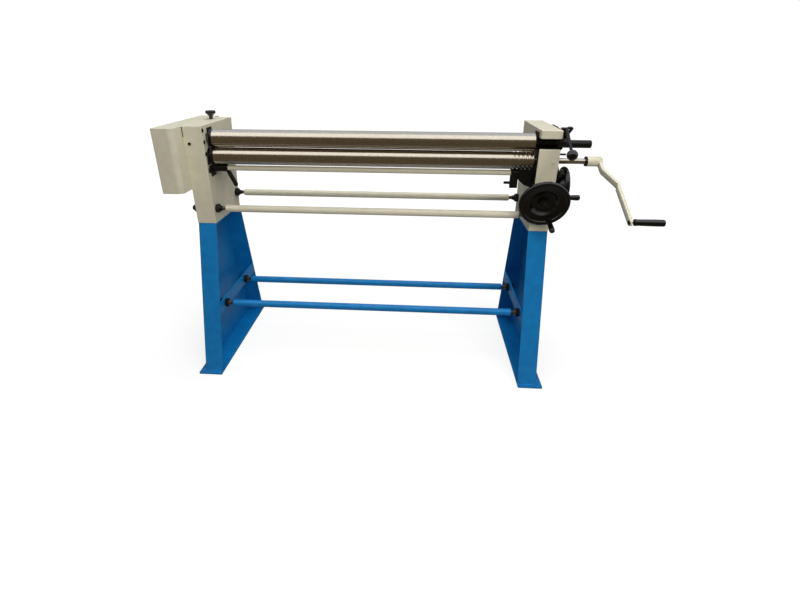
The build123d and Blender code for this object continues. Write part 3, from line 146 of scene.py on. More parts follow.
def worked_steel(name, dark, main, bright, roughness, mark_mm, depth, haze_mm=70, along=(1, 0.03, 0.03)):
    """Metal that was turned or ground round the X axis. The eye gets fine rings across the length,
    a broken highlight, and an oily haze that comes and goes."""
    material, tree = blank_material(name)
    place = add(tree, "ShaderNodeTexCoord").outputs["Object"]
    fine = add(tree, "ShaderNodeMapping", {"Vector": place},
               {"Scale": tuple(scale * share for scale, share in zip(per_mm(mark_mm), along))})
    rings = add(tree, "ShaderNodeTexNoise", {"Vector": fine}, {"Detail": 3.0})
    wide = add(tree, "ShaderNodeMapping", {"Vector": place}, {"Scale": per_mm(haze_mm)})
    haze = add(tree, "ShaderNodeTexNoise", {"Vector": wide}, {"Detail": 5.0})
    mixed = add(tree, "ShaderNodeMix", {2: rings, 3: haze}, {0: 0.55})
    colour = add(tree, "ShaderNodeValToRGB", {"Fac": mixed},
                 stops=[(0.3, dark), (0.5, main), (0.72, bright)])
    rough = add(tree, "ShaderNodeMapRange", {"Value": mixed},
                {"To Min": roughness - 0.04, "To Max": roughness + 0.05})
    bump = add(tree, "ShaderNodeBump", {"Height": rings}, {"Strength": depth, "Distance": 0.00005})
    return finished(material, colour, rough, bump, {"Metallic": 1.0})


def black_finish(name, main, light, roughness, grain_mm, strength, coat, wear_mm=25):
    """Black iron, blued steel or moulded plastic. The eye gets a near-black with a grain of its own
    size, brown where oil has dried, and a shine that varies."""
    material, tree = blank_material(name)
    place = add(tree, "ShaderNodeTexCoord").outputs["Object"]
    fine = add(tree, "ShaderNodeMapping", {"Vector": place}, {"Scale": per_mm(grain_mm)})
    grain = add(tree, "ShaderNodeTexNoise", {"Vector": fine}, {"Detail": 4.0})
    wide = add(tree, "ShaderNodeMapping", {"Vector": place}, {"Scale": per_mm(wear_mm)})
    wear = add(tree, "ShaderNodeTexNoise", {"Vector": wide}, {"Detail": 4.0})
    colour = add(tree, "ShaderNodeValToRGB", {"Fac": wear}, stops=[(0.42, main), (0.75, light)])
    rough = add(tree, "ShaderNodeMapRange", {"Value": wear},
                {"To Min": roughness - 0.08, "To Max": roughness + 0.12})
    bump = add(tree, "ShaderNodeBump", {"Height": grain}, {"Strength": strength, "Distance": 0.0003})
    return finished(material, colour, rough, bump,
                    {"IOR": 1.5, "Specular IOR Level": 0.3, "Coat Weight": coat, "Coat Roughness": 0.2})


# Blue machine enamel of the legs, straps and stand rods
blue_enamel = enamel("blue_enamel", "#0A7CC4", "#0D81C9", "#0876BE", roughness=0.4, peel_mm=3.0)
# Cream machine enamel of the heads, the cover, the head rods, the cross shaft and the crank
cream_enamel = enamel("cream_enamel", "#DAD6C2", "#DDD9C6", "#D6D1BC", roughness=0.4, peel_mm=3.0)
# Pale moulded plastic of the plug in the right head
pale_moulding = enamel("pale_moulding", "#CFCBBE", "#D9D6CA", "#C4BFB0", roughness=0.42, peel_mm=5.0)
# Ground steel of the rolls, nearly a mirror round the axis
ground_steel = worked_steel("ground_steel", "#BDB4A4", "#C4BBAC", "#CBC3B4",
                            roughness=0.22, mark_mm=1.2, depth=0.01)
# Oiled steel as it leaves the lathe: threads, gears, cams and handle pins
turned_steel = worked_steel("turned_steel", "#5B4E42", "#8A7A69", "#B5A591",
                            roughness=0.34, mark_mm=1.0, depth=0.5)
# Cast bronze of the gear's bush
bronze = worked_steel("bronze", "#6E5428", "#94763F", "#B89A5C", roughness=0.38, mark_mm=1.0, depth=0.4)
# Blued, oiled steel of nuts, screws, slide plates, bars and the lever rod; its near-black is also painted
# shade on the front rolls' left ends and on the upper roll's right end in the head's pocket
blued_steel = black_finish("blued_steel", "#0E0D0C", "#1E1B18",
                           roughness=0.34, grain_mm=1.5, strength=0.12, coat=0.0)
# Grey iron of the latch arm, painted black over its sand grain
cast_iron_black = black_finish("cast_iron_black", "#0D0C0B", "#211D1A",
                               roughness=0.5, grain_mm=2.5, strength=0.5, coat=0.0)
# Glossy phenolic moulding of the handwheels, handles, grip and knobs
moulded_phenolic = black_finish("moulded_phenolic", "#050505", "#0A0909",
                                roughness=0.24, grain_mm=6.0, strength=0.04, coat=0.6)

FINISHES = {
    "blue_paint": blue_enamel, "cream_paint": cream_enamel, "ground_steel": ground_steel,
    "bare_steel": turned_steel, "black_steel": blued_steel, "black_iron": cast_iron_black,
    "black_plastic": moulded_phenolic, "pale_plastic": pale_moulding, "bronze": bronze,
}
for node, node_object in frame["nodes"].items():
    node_object.data.materials.clear()
    node_object.data.materials.append(FINISHES[SLOT_OF[node]])


# ---------------------------------------------------------------- modelling by hand

def only(piece):
    """Leaves edit mode and selects one piece alone."""
    if bpy.context.mode != "OBJECT":
        bpy.ops.object.mode_set(mode="OBJECT")
    bpy.ops.object.select_all(action="DESELECT")
    piece.select_set(True)
    bpy.context.view_layer.objects.active = piece


def shaping(piece):
    """Opens one piece in edit mode with all of it selected."""
    only(piece)
    bpy.ops.object.mode_set(mode="EDIT")
    bpy.ops.mesh.select_all(action="SELECT")


def at(x_mm, y_mm, z_mm):
    """A place in the part's frame, from mm."""
    return Matrix.Translation((x_mm * MM, y_mm * MM, z_mm * MM))


def turn_about(axis, degrees):
    """A turn about one of the frame's axes, given by its letter."""
    return Matrix.Rotation(math.radians(degrees), 4, axis)


def lying_along_x(x_mm, y_mm, z_mm, flip=1):
    """Place of a lathe piece whose axis runs along X, its top at +X, or at -X with flip -1."""
    return at(x_mm, y_mm, z_mm) @ turn_about("Y", 90 * flip)


def settle(piece, matrix):
    """Places a piece modelled at the origin and keeps the place in its mesh."""
    only(piece)
    piece.matrix_world = matrix
    bpy.ops.object.transform_apply(location=True, rotation=True, scale=True)


def apply_modifier(piece, name, kind, **settings):
    """Adds a modifier with its settings and makes its result the piece's mesh."""
    only(piece)
    modifier = piece.modifiers.new(name, kind)
    for key, value in settings.items():
        setattr(modifier, key, value)
    bpy.ops.object.modifier_apply(modifier=modifier.name)


def break_edges(piece, width_mm, segments=2):
    """Rounds a piece's sharp edges as a file, a casting or paint does."""
    apply_modifier(piece, "broken_edges", "BEVEL", width=width_mm * MM, segments=segments,
                   limit_method="ANGLE", angle_limit=math.radians(BREAK_FROM), use_clamp_overlap=False)


def hand_over(piece, like, replaces=(), finish=None, slot=None, crease=CREASE_FROM):
    """Gives a finished piece its shading, its finish and the CAD body that it rides on."""
    only(piece)
    bpy.ops.object.shade_smooth_by_angle(angle=math.radians(crease))
    slot = slot or SLOT_OF[like]
    piece.data.materials.clear()
    piece.data.materials.append(finish or FINISHES[slot])
    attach(piece, BODY_OF[like])
    if replaces:
        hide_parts(*replaces)
    return piece


def dressed(node, name, width_mm, segments=2):
    """A merged copy of a rigid CAD node with its edges broken, in the node's place. Its large faces
    keep their own normals, so that they look flat beside the broken edges."""
    piece = bpy.data.objects.new(name, frame["nodes"][node].data.copy())
    bpy.context.scene.collection.objects.link(piece)
    shaping(piece)
    bpy.ops.mesh.remove_doubles(threshold=SOLID_WELD)
    bpy.ops.mesh.dissolve_limited(angle_limit=math.radians(FLAT_WITHIN))
    break_edges(piece, width_mm, segments)
    hand_over(piece, node, (node,))
    apply_modifier(piece, "flat_faces", "WEIGHTED_NORMAL", weight=100, keep_sharp=True)
    return piece


def block(name, middle, size):
    """A box from its middle and its size in mm."""
    bpy.ops.mesh.primitive_cube_add(size=1, location=(0, 0, 0))
    piece = bpy.context.object
    piece.name = name
    settle(piece, at(*middle) @ Matrix.Diagonal((*(length * MM for length in size), 1)))
    return piece


def trim(piece, middle, size):
    """Cuts a box out of a thin plate, where the photographed one ends further back."""
    box = block("trim_box", middle, size)
    apply_modifier(piece, "cut", "BOOLEAN", object=box, solver="EXACT")
    bpy.data.objects.remove(box)


def turned(name, points, sides):
    """A lathe piece about Z from (radius, height) points in mm: a chain of corners, spun and closed."""
    bpy.ops.object.select_all(action="DESELECT")
    bpy.ops.mesh.primitive_plane_add(size=MM, location=(0, 0, 0))
    piece = bpy.context.object
    piece.name = name
    bpy.ops.object.mode_set(mode="EDIT")
    bpy.ops.mesh.select_all(action="SELECT")
    bpy.ops.mesh.merge(type="CENTER")
    bpy.ops.transform.translate(value=(points[0][0] * MM, 0, points[0][1] * MM))
    for (r, h), (next_r, next_h) in zip(points, points[1:]):
        step = ((next_r - r) * MM, 0, (next_h - h) * MM)
        bpy.ops.mesh.extrude_vertices_move(TRANSFORM_OT_translate={"value": step})
    bpy.ops.mesh.select_all(action="SELECT")
    bpy.ops.mesh.spin(steps=sides, angle=2 * math.pi, center=(0, 0, 0), axis=(0, 0, 1))
    bpy.ops.mesh.select_all(action="SELECT")
    bpy.ops.mesh.remove_doubles(threshold=OWN_WELD)
    bpy.ops.mesh.normals_make_consistent(inside=False)
    bpy.ops.object.mode_set(mode="OBJECT")
    return piece


def bent_bar(name, start, heading, across, section, steps):
    """A bar drawn from start along heading. The section is a radius, or (width along across,
    thickness), in mm, and each step is a run in mm or a bend (towards, radius in mm, degrees)."""
    heading, across = Vector(heading).normalized(), Vector(across).normalized()
    bpy.ops.object.select_all(action="DESELECT")
    if isinstance(section, tuple):
        bpy.ops.mesh.primitive_plane_add(size=MM, location=(0, 0, 0))
        stretch = Matrix.Diagonal((section[0], section[1], 1, 1))
    else:
        bpy.ops.mesh.primitive_circle_add(vertices=BAR_SIDES, radius=section * MM, fill_type="NGON",
                                          location=(0, 0, 0))
        stretch = Matrix.Identity(4)
    piece = bpy.context.object
    piece.name = name
    turn = Matrix((across, heading.cross(across), heading)).transposed().to_4x4()
    spot = Vector(start) * MM
    settle(piece, Matrix.Translation(spot) @ turn @ stretch)
    shaping(piece)
    for step in steps:
        if isinstance(step, tuple):
            towards, radius, angle = Vector(step[0]).normalized(), step[1] * MM, math.radians(step[2])
            pivot, axis = spot + towards * radius, heading.cross(towards)
            bpy.ops.mesh.spin(steps=BEND_STEPS, angle=-angle, center=pivot, axis=axis)
            swing = Matrix.Rotation(angle, 3, axis)
            spot, heading = pivot + swing @ (spot - pivot), swing @ heading
        else:
            bpy.ops.mesh.extrude_region_move(TRANSFORM_OT_translate={"value": heading * step * MM})
            spot = spot + heading * step * MM
    bpy.ops.mesh.select_all(action="DESELECT")
    bpy.ops.mesh.select_interior_faces()
    bpy.ops.mesh.delete(type="FACE")
    bpy.ops.mesh.select_all(action="SELECT")
    bpy.ops.mesh.remove_doubles(threshold=OWN_WELD)
    bpy.ops.mesh.normals_make_consistent(inside=False)
    bpy.ops.object.mode_set(mode="OBJECT")
    return piece


def chamfered_ring(bore_r, outer_r, start, end, chamfer):
    """Closed section of a ring with both outer corners chamfered, as (radius, height)."""
    return [(bore_r, start), (outer_r - chamfer, start), (outer_r, start + chamfer),
            (outer_r, end - chamfer), (outer_r - chamfer, end), (bore_r, end), (bore_r, start)]


def lathe_piece(name, node, corners, sides, place, **hand_over_settings):
    """A lathe piece in its place, on the body of a CAD node."""
    piece = turned(name, corners, sides)
    settle(piece, place)
    return hand_over(piece, node, **hand_over_settings)


BLUED = {"finish": blued_steel, "slot": "black_steel"}


# ---------------------------------------------------------------- stand and heads

# CAD node, name of its dressed copy, width of the broken edges in mm, segments across them
DRESSED = (
    ("left_leg", "left_leg_sheet", 1.0, 2),
    ("right_leg", "right_leg_sheet", 1.0, 2),
    ("left_strap", "left_strap_bar", 0.8, 2),
    ("right_strap", "right_strap_bar", 0.8, 2),
    ("left_head", "left_head_plate", 2.2, 3),
    ("right_head", "right_head_plate", 2.2, 3),
    ("gear_cover", "gear_cover_shell", 1.2, 2),
    ("stand_rod_nuts", "stand_rod_hex_nuts", 0.9, 2),
    ("head_rod_nuts", "head_rod_hex_nuts", 0.9, 2),
    ("head_dome_nuts", "head_rod_domed_nuts", 0.8, 2),
    ("left_slide_plate", "left_slide_face", 0.5, 2),
    ("right_slide_plate", "right_slide_face", 0.5, 2),
    ("latch_bracket", "latch_hook_plate", 1.2, 2),
    ("latch_arm", "latch_jaw_casting", 1.6, 3),
    ("rail_bar", "top_rail_bar", 0.8, 2),
    ("rear_bar", "rear_support_bar", 1.0, 2),
)
copies = {node: dressed(node, name, width_mm, segments) for node, name, width_mm, segments in DRESSED}
trim(copies["left_slide_plate"], middle=(-661, -218, 980), size=(30, 60, 300))
trim(copies["right_slide_plate"], middle=(660, -235, 1088.5), size=(30, 60, 62))

rail_clamp = block("rail_clamp_block", middle=(753.1, -214, 1081.5), size=(24.8, 24.6, 33))
break_edges(rail_clamp, 1.6, 3)
hand_over(rail_clamp, "rail_bar")

STUD_ROOT_R, STUD_R, STUD_PITCH, HEX_NUT_HEIGHT = 7.4, 8.0, 2.0, 16
WASHER = [(13, 0), (18.6, 0), (19.4, 0.5), (19.4, 1.9), (18.8, 2.5), (13, 2.5), (13, 0)]
# The washers are sunk into the heads, so that only a thin edge shows
WASHER_SEAT_X = 740.5


def threaded_stud(number, side, rod, bare, past_nut, node):
    """A tie rod's threaded end: bare mm of thread show between the painted rod and the nut, and the
    rest goes on past the nut."""
    thread = []
    for turn_number in range(int(bare / STUD_PITCH)):
        start = STUD_PITCH * turn_number
        thread += [(STUD_ROOT_R, start), (STUD_ROOT_R, start + 0.4), (STUD_R, start + 0.9),
                   (STUD_R, start + 1.4)]
    end = bare + HEX_NUT_HEIGHT + past_nut
    corners = ([(0, -0.5), (STUD_ROOT_R, -0.5)] + thread
               + [(STUD_ROOT_R, bare), (STUD_R, bare + 0.4), (STUD_R, end - 1.2), (STUD_R - 0.8, end),
                  (0, end)])
    place = lying_along_x(side * (HEAD_INNER_X - HEX_NUT_HEIGHT - bare), *rod, side)
    lathe_piece("%s_%d" % (node[:-1], number), node, corners, THREAD_SIDES, place,
                replaces=(node,) if number == 0 else (), crease=FINE_CREASE_FROM)


def both_ends(rods):
    """Numbers the ends of two tie rods, the left ends first."""
    return enumerate((side, rod) for side in (-1, 1) for rod in rods)


for number, (side, rod) in both_ends(STAND_RODS):
    threaded_stud(number, side, rod, bare=20, past_nut=28, node="stand_rod_studs")
for number, (side, rod) in both_ends(HEAD_RODS):
    threaded_stud(number, side, rod, bare=27, past_nut=91.7, node="head_rod_studs")
    lathe_piece("head_rod_washer_%d" % number, "head_dome_nuts", WASHER, GRIP_SIDES,
                lying_along_x(side * WASHER_SEAT_X, *rod, side))

# A thin near-black strip at the top of the cover's seam paints the shadow line between the cover and the
# head, and slopes with the head's front
SEAM_TOP, SEAM_SLOPE, SEAM_SECTION, SEAM_LENGTH = (-741.2, -241.9, 1087), (0, 0.0986, -0.9951), (3.4, 1.6), 41
seam = bent_bar("cover_seam_shadow_strip", SEAM_TOP, SEAM_SLOPE, X, SEAM_SECTION, [SEAM_LENGTH])
hand_over(seam, "gear_cover", finish=moulded_phenolic, slot="black_plastic")


def foot_weld(side):
    """Weld bead along the three outer sides of a leg, where it stands on its foot plate."""
    inner_x, outer_x, half_depth, plate_top, bead_r, corner_r = 664.0, 742.5, 324.5, 10.0, 3.2, 9
    outward, inward = (side, 0, 0), (-side, 0, 0)
    across, along = outer_x - inner_x - corner_r, 2 * (half_depth - corner_r)
    label = "right" if side > 0 else "left"
    piece = bent_bar(label + "_foot_weld", (inner_x * side, -half_depth, plate_top), outward, Z, bead_r,
                     [across, ((0, 1, 0), corner_r, 90), along, (inward, corner_r, 90), across])
    apply_modifier(piece, "split", "SUBSURF", levels=1, render_levels=1)
    hand_over(piece, label + "_leg")


foot_weld(-1)
foot_weld(1)


# ---------------------------------------------------------------- rolls

# Wire grooves near the right end
GROOVES, GROOVE_PITCH, FIRST_GROOVE, GROOVE_R, GROOVE_R_STEP, ARC_STEPS = 5, 16.5, 9, 2.4, 0.5, 8
# Left end of the bright length of the front rolls
BRIGHT_START = -637.5
# Lower roll
JOURNAL_R, JOURNAL_END, SHAFT_R, SHAFT_START, SHAFT_END = 15, 738.5, 11, -772.5, 900
# Rear roll
REAR_JOURNAL_R, REAR_END = 14, 704.5
# Upper roll: its tail and neck on the left, and its grooved collar and the bush's seat on the right
TAIL_R, TAIL_START, NECK_R, NECK_START = 5, -752.5, 15.5, -716
COLLAR_R, COLLAR_START, COLLAR_END, COLLAR_GROOVES, COLLAR_PITCH = 17.2, 690.5, 736.5, 4, 9.2
BUSH_BORE_R, BUSH_SEAT = 8.6, 761.8

upper_line = lying_along_x(0, ROLL_Y, UPPER_ROLL_Z)
lower_line = lying_along_x(0, ROLL_Y, LOWER_ROLL_Z)
rear_line = lying_along_x(0, REAR_ROLL_Y, REAR_ROLL_Z)


def arc_groove(middle, radius, surface):
    """Corners of a round-bottomed wire groove in a roll, as (radius, height)."""
    corners = []
    for number in range(ARC_STEPS + 1):
        swing = math.pi * number / ARC_STEPS
        corners.append((surface - radius * math.sin(swing), middle - radius * math.cos(swing)))
    return corners


def wire_grooves():
    """The wire grooves near a roll's right end, widest last."""
    corners = []
    for number in reversed(range(GROOVES)):
        middle = ROLL_HALF - FIRST_GROOVE - number * GROOVE_PITCH
        corners += arc_groove(middle, GROOVE_R + GROOVE_R_STEP * (GROOVES - number), ROLL_R)
    return corners


def body_corners(grooved, left_end=BRIGHT_START):
    """The working length of a roll between its two end faces."""
    middle = wire_grooves() if grooved else []
    return ([(ROLL_R - 1, left_end), (ROLL_R, left_end + 1)] + middle
            + [(ROLL_R, ROLL_HALF - 1), (ROLL_R - 1, ROLL_HALF)])


# A near-black ring takes the left 13 mm of each front roll against the slide plate: painted shade of the dark
# strip where the rolls end beside the head
dark_end_ring = chamfered_ring(JOURNAL_R - 0.1, ROLL_R, -ROLL_HALF, BRIGHT_START - 0.1, 0.8)
lathe_piece("upper_dark_end_ring", "upper_roll", dark_end_ring, ROUND_SIDES, upper_line, **BLUED)
lathe_piece("lower_dark_end_ring", "lower_roll", dark_end_ring, ROUND_SIDES, lower_line, **BLUED)

lower_roll = ([(0, SHAFT_START), (SHAFT_R - 1, SHAFT_START), (SHAFT_R, SHAFT_START + 1),
               (SHAFT_R, -JOURNAL_END), (JOURNAL_R - 1, -JOURNAL_END), (JOURNAL_R, 1 - JOURNAL_END),
               (JOURNAL_R, BRIGHT_START)]
              + body_corners(True)
              + [(JOURNAL_R, ROLL_HALF), (JOURNAL_R, JOURNAL_END - 1), (JOURNAL_R - 1, JOURNAL_END),
                 (SHAFT_R, JOURNAL_END), (SHAFT_R, SHAFT_END - 1), (SHAFT_R - 1, SHAFT_END), (0, SHAFT_END)])
lathe_piece("lower_roll_forging", "lower_roll", lower_roll, ROLL_SIDES, lower_line,
            replaces=("lower_roll", "crank_shaft"))

rear_roll = ([(0, -REAR_END), (REAR_JOURNAL_R - 1, -REAR_END), (REAR_JOURNAL_R, 1 - REAR_END),
              (REAR_JOURNAL_R, -ROLL_HALF)]
             + body_corners(True, -ROLL_HALF)
             + [(REAR_JOURNAL_R, ROLL_HALF), (REAR_JOURNAL_R, REAR_END - 1), (REAR_JOURNAL_R - 1, REAR_END),
                (0, REAR_END)])
lathe_piece("rear_roll_forging", "rear_roll", rear_roll, ROLL_SIDES, rear_line, replaces=("rear_roll",))

upper_roll = ([(0, TAIL_START), (TAIL_R - 0.5, TAIL_START), (TAIL_R, TAIL_START + 0.5), (TAIL_R, NECK_START),
               (NECK_R, NECK_START), (NECK_R, BRIGHT_START)]
              + body_corners(False) + [(NECK_R + 0.5, ROLL_HALF), (0, ROLL_HALF)])
lathe_piece("upper_roll_forging", "upper_roll", upper_roll, ROLL_SIDES, upper_line,
            replaces=("upper_roll",))

# The grooved right end that runs inside the head's pocket gets the near-black blued finish: painted shade of
# the dark pocket, on an end that is grooved bright steel
collar_grooves = []
for number in range(COLLAR_GROOVES):
    middle = COLLAR_START + COLLAR_PITCH * (number + 1)
    collar_grooves += [(COLLAR_R, middle - 2.2), (16.6, middle - 2.0), (15.0, middle - 1.8),
                       (15.0, middle + 1.8), (16.6, middle + 2.0), (COLLAR_R, middle + 2.2)]
end_section = ([(0, ROLL_HALF - 0.1), (16.8, ROLL_HALF - 0.1), (NECK_R, ROLL_HALF + 1.5),
                (NECK_R, COLLAR_START), (COLLAR_R - 0.6, COLLAR_START), (COLLAR_R, COLLAR_START + 0.6)]
               + collar_grooves
               + [(COLLAR_R, COLLAR_END), (BUSH_BORE_R, COLLAR_END), (BUSH_BORE_R, BUSH_SEAT),
                  (0, BUSH_SEAT)])
lathe_piece("upper_roll_end_section", "upper_roll", end_section, ROUND_SIDES, upper_line, **BLUED)

end_cap = [(BUSH_BORE_R + 0.02, COLLAR_END), (16.4, COLLAR_END), (COLLAR_R, 737.3), (COLLAR_R, 768.5),
           (16.6, 771.0), (14.9, 773.4), (12.4, 774.5), (4, 774.5), (3.2, 773.2), (0, 773.2),
           (0, BUSH_SEAT + 0.1), (BUSH_BORE_R + 0.02, BUSH_SEAT + 0.1), (BUSH_BORE_R + 0.02, COLLAR_END)]
lathe_piece("upper_roll_end_cap", "upper_roll_bush", end_cap, ROUND_SIDES, upper_line,
            replaces=("upper_roll_bush",))


# ---------------------------------------------------------------- handwheels

# Heights are in front of the rim's middle, in mm
RIM_R, HUB_R, WHEEL_BORE_R = 10, 21.2, 9.06
HANDLE_BASE, HANDLE_FROM_RIM, HANDLE_LENGTH = 10.3, 18, 70
# The wheel's bowl, front and back, as (share of the radius, height)
BOWL = [(0.40, -17.2), (0.44, -16.4), (0.465, -14.4), (0.555, -2.2), (0.575, -0.6), (0.61, 0.4),
        (0.76, 2.0)]
BOWL_BACK = [(0.76, -4.0), (0.61, -6.0), (0.575, -8.6), (0.49, -20.4), (0.45, -23.0)]
NUT_SEAT = [(0, 3.2), (7.6, 3.2), (8.4, 2.4), (8.8, 1.6), (9.8, 1.6), (10.6, 4.2), (11.4, 5), (19, 5),
            (20.6, 4.2), (HUB_R, 2.4), (21.6, -14.5), (22.4, -16.6), (24.2, -17.4)]
WHEEL_NUT = [(0, 3.0), (11.6, 3.0), (12.8, 3.6), (12.8, 10.6), (11.4, 11.8), (7.0, 11.8), (6.4, 13.6),
             (5.2, 14.6), (0, 14.6)]
HANDLE_BOSS = [(0, 10.1), (10.4, 10.1), (11.6, 9.4), (12.2, 8), (12.8, -4), (12.4, -8.6), (11.4, -9.8),
               (10.2, -10.1), (0, -10.1)]
# A handle of full length, from its open foot to its closed tip
HANDLE = [(5.2, 0), (8.4, 0), (9.3, 0.8), (9.5, 3.6), (9.1, 5.0), (9.0, 7.5), (9.3, 12), (9.8, 20),
          (10.3, 30), (10.8, 41), (11.2, 50), (11.3, 57), (11.0, 63), (9.9, 67), (8.0, 69.3),
          (6.0, HANDLE_LENGTH), (5.0, 69.8), (4.6, 68.6), (0, 68.4), (0, 66), (5.2, 66), (5.2, 0)]


def wheel_corners(radius, back):
    """Section of a bowl-shaped handwheel: nut seat, hub, bowl with its steep wall, and round rim. The
    hub's back lies back mm behind the middle of the rim."""
    ring = radius - RIM_R
    rim = [(ring + RIM_R * math.cos(math.radians(a)), RIM_R * math.sin(math.radians(a)))
           for a in range(160, -170, -15)]
    return (NUT_SEAT + [(radius * share, height) for share, height in BOWL] + rim
            + [(radius * share, height) for share, height in BOWL_BACK]
            + [(24.2, -23.4), (22, -24.2), (HUB_R, -25.2), (HUB_R, 1.4 - back), (20, -back),
               (WHEEL_BORE_R, -back), (WHEEL_BORE_R, 1), (0, 1)])


def handwheel(label, radius, back, length, place):
    """A handwheel with its nut, handle boss, handle, and the handle's bright pin."""
    wheel, handle = label + "_wheel", label + "_handle"
    boss_place = place @ at(0, HANDLE_FROM_RIM - radius, 0)
    lathe_piece(wheel + "_disc", wheel, wheel_corners(radius, back), WHEEL_SIDES, place,
                replaces=(wheel,), crease=FINE_CREASE_FROM)
    lathe_piece(wheel + "_nut", wheel, WHEEL_NUT, HEX_SIDES, place, **BLUED)
    lathe_piece(wheel + "_boss", wheel, HANDLE_BOSS, BOSS_SIDES, boss_place, crease=FINE_CREASE_FROM)
    grip = [(r, HANDLE_BASE + height * length / HANDLE_LENGTH) for r, height in HANDLE]
    lathe_piece(label + "_turning_handle", handle, grip, GRIP_SIDES, boss_place,
                replaces=(handle,), crease=FINE_CREASE_FROM)
    tip = HANDLE_BASE + length - 0.9
    pin = [(0, tip), (2.4, tip - 0.2), (3.8, tip - 0.8), (4.4, tip - 1.6), (4.4, tip - 3.9),
           (5.0, tip - 4.4), (5.0, -10.4), (4.2, -11.2), (0, -11.2)]
    lathe_piece(handle + "_pin", handle, pin, PIN_SIDES, boss_place, finish=turned_steel, slot="bare_steel")


# The last turn brings each handle to its place at rest
front_shaft = at(*FRONT_WHEEL_FOOT) @ turn_about("X", 90 + FRONT_WHEEL_TILT)
handwheel("side", radius=75.0, back=27.2, length=50.0,
          place=lying_along_x(*SIDE_WHEEL) @ turn_about("Z", 45))
handwheel("front", radius=100.0, back=40.2, length=HANDLE_LENGTH,
          place=front_shaft @ at(0, 0, FRONT_WHEEL_REACH) @ turn_about("Z", 22))


# ---------------------------------------------------------------- crank

# The crank is modelled hanging straight down from its shaft, and then turned to its place at rest
crank_place = at(0, ROLL_Y, LOWER_ROLL_Z) @ turn_about("X", -62)
ARM_X, ARM_TOP, ARM_WIDTH, ARM_THICKNESS, END_ROUNDING = 909, 2, 26, 12, 12.4
# The arm runs down, slants outward along its jog, and runs down again to the grip
HUB_RUN, JOG_RUN, GRIP_RUN, JOG_R, JOG_DEGREES = 53.2, 86.1, 194.2, 30, 25.54

arm = bent_bar("crank_flat_bar", (ARM_X, 0, ARM_TOP), (0, 0, -1), Y, (ARM_WIDTH, ARM_THICKNESS),
               [HUB_RUN, ((1, 0, 0), JOG_R, JOG_DEGREES), JOG_RUN, ((-1, 0, 0), JOG_R, JOG_DEGREES),
                GRIP_RUN])
# The two edges that cross the arm's thickness at its lower end are rounded off
shaping(arm)
bpy.ops.mesh.select_all(action="DESELECT")
bpy.ops.object.mode_set(mode="OBJECT")
lowest = min(vertex.co.z for vertex in arm.data.vertices)
for edge in arm.data.edges:
    ends = [arm.data.vertices[i].co for i in edge.vertices]
    across_arm = abs(ends[0].x - ends[1].x) > ARM_THICKNESS / 2 * MM
    edge.select = across_arm and all(end.z < lowest + MM for end in ends)
bpy.ops.object.mode_set(mode="EDIT")
bpy.ops.mesh.select_mode(type="EDGE")
bpy.ops.mesh.bevel(offset=END_ROUNDING * MM, segments=10, affect="EDGES")
bpy.ops.mesh.select_mode(type="VERT")
break_edges(arm, 2.4, 3)
settle(arm, crank_place)
hand_over(arm, "crank_arm", ("crank_arm",))

HUB_START, HUB_END, HUB_BORE_R = 861.2, 918, SHAFT_R + 0.1
crank_hub = [(HUB_BORE_R, HUB_START), (18, HUB_START), (19.5, HUB_START + 1.5), (19.5, 915.5), (18.2, 917.4),
             (16, HUB_END), (0, HUB_END), (0, SHAFT_END + 0.5), (HUB_BORE_R, SHAFT_END + 0.5),
             (HUB_BORE_R, HUB_START)]
lathe_piece("crank_hub", "crank_arm", crank_hub, ROUND_SIDES, lower_line)
shaft_collar = chamfered_ring(HUB_BORE_R, 19.6, HUB_START - 6.2, HUB_START, 1)
lathe_piece("crank_shaft_collar", "crank_arm", shaft_collar, GRIP_SIDES, lower_line, **BLUED)

GRIP_START = 958.3
crank_grip = [(6.1, 0), (11.2, 0), (12.3, 1.1), (12.5, 3), (12.5, 7), (11.9, 9), (11.6, 14), (11.9, 30),
              (12.3, 55), (12.5, 78), (12.5, 97), (12.2, 101), (11.0, 104), (8.5, 105), (3.4, 105),
              (2.6, 103.6), (0, 103.6), (0, 98), (6.1, 98), (6.1, 0)]
lathe_piece("crank_turning_grip", "crank_grip", crank_grip, GRIP_SIDES,
            crank_place @ lying_along_x(GRIP_START, 0, -CRANK_RADIUS),
            replaces=("crank_grip",), crease=FINE_CREASE_FROM)
grip_bolt = [(0, 938.2), (4.6, 938.4), (7.6, 939.4), (9.4, 941.2), (10, 943.4), (10, 946), (6, 946),
             (6, 1055.5), (0, 1055.5)]
lathe_piece("crank_grip_bolt", "crank_bolt", grip_bolt, BOSS_SIDES,
            crank_place @ lying_along_x(0, 0, -CRANK_RADIUS), replaces=("crank_bolt",))

lathe_piece("cross_shaft_sleeve", "shaft_pins", chamfered_ring(11.1, 15.4, -636, -606.8, 0.8),
            GRIP_SIDES, lying_along_x(0, CROSS_SHAFT_Y, CROSS_SHAFT_Z))


# ---------------------------------------------------------------- latch lever, knobs

lever_drum = [(8.1, 765.8), (23.6, 765.8), (25, 767.2), (25, 786.4), (23.8, 787.8), (13, 787.8),
              (12.2, 786.8), (8.1, 786.8), (8.1, 765.8)]
lathe_piece("lever_drum", "lever_rod", lever_drum, KNOB_SIDES, lying_along_x(0, LEVER_Y, LEVER_Z))

# The rod climbs from the drum to its elbow, steps inward, and falls to the ball
LEVER_X, BALL_X, LEVER_R, ELBOW_R, ELBOW_RUN, BALL_REACH = 774.05, 752, 5.5, 11, 0.05, 17
climb, fall = Vector((0, -105, 56)), Vector((0, -116, -82))
lever = bent_bar("lever_bent_rod", (LEVER_X, LEVER_Y, LEVER_Z), climb, X, LEVER_R,
                 [climb.length - ELBOW_R, ((-1, 0, 0), ELBOW_R, 90), ELBOW_RUN, (fall, ELBOW_R, 90),
                  fall.length - ELBOW_R - BALL_REACH])
hand_over(lever, "lever_rod", ("lever_rod",))

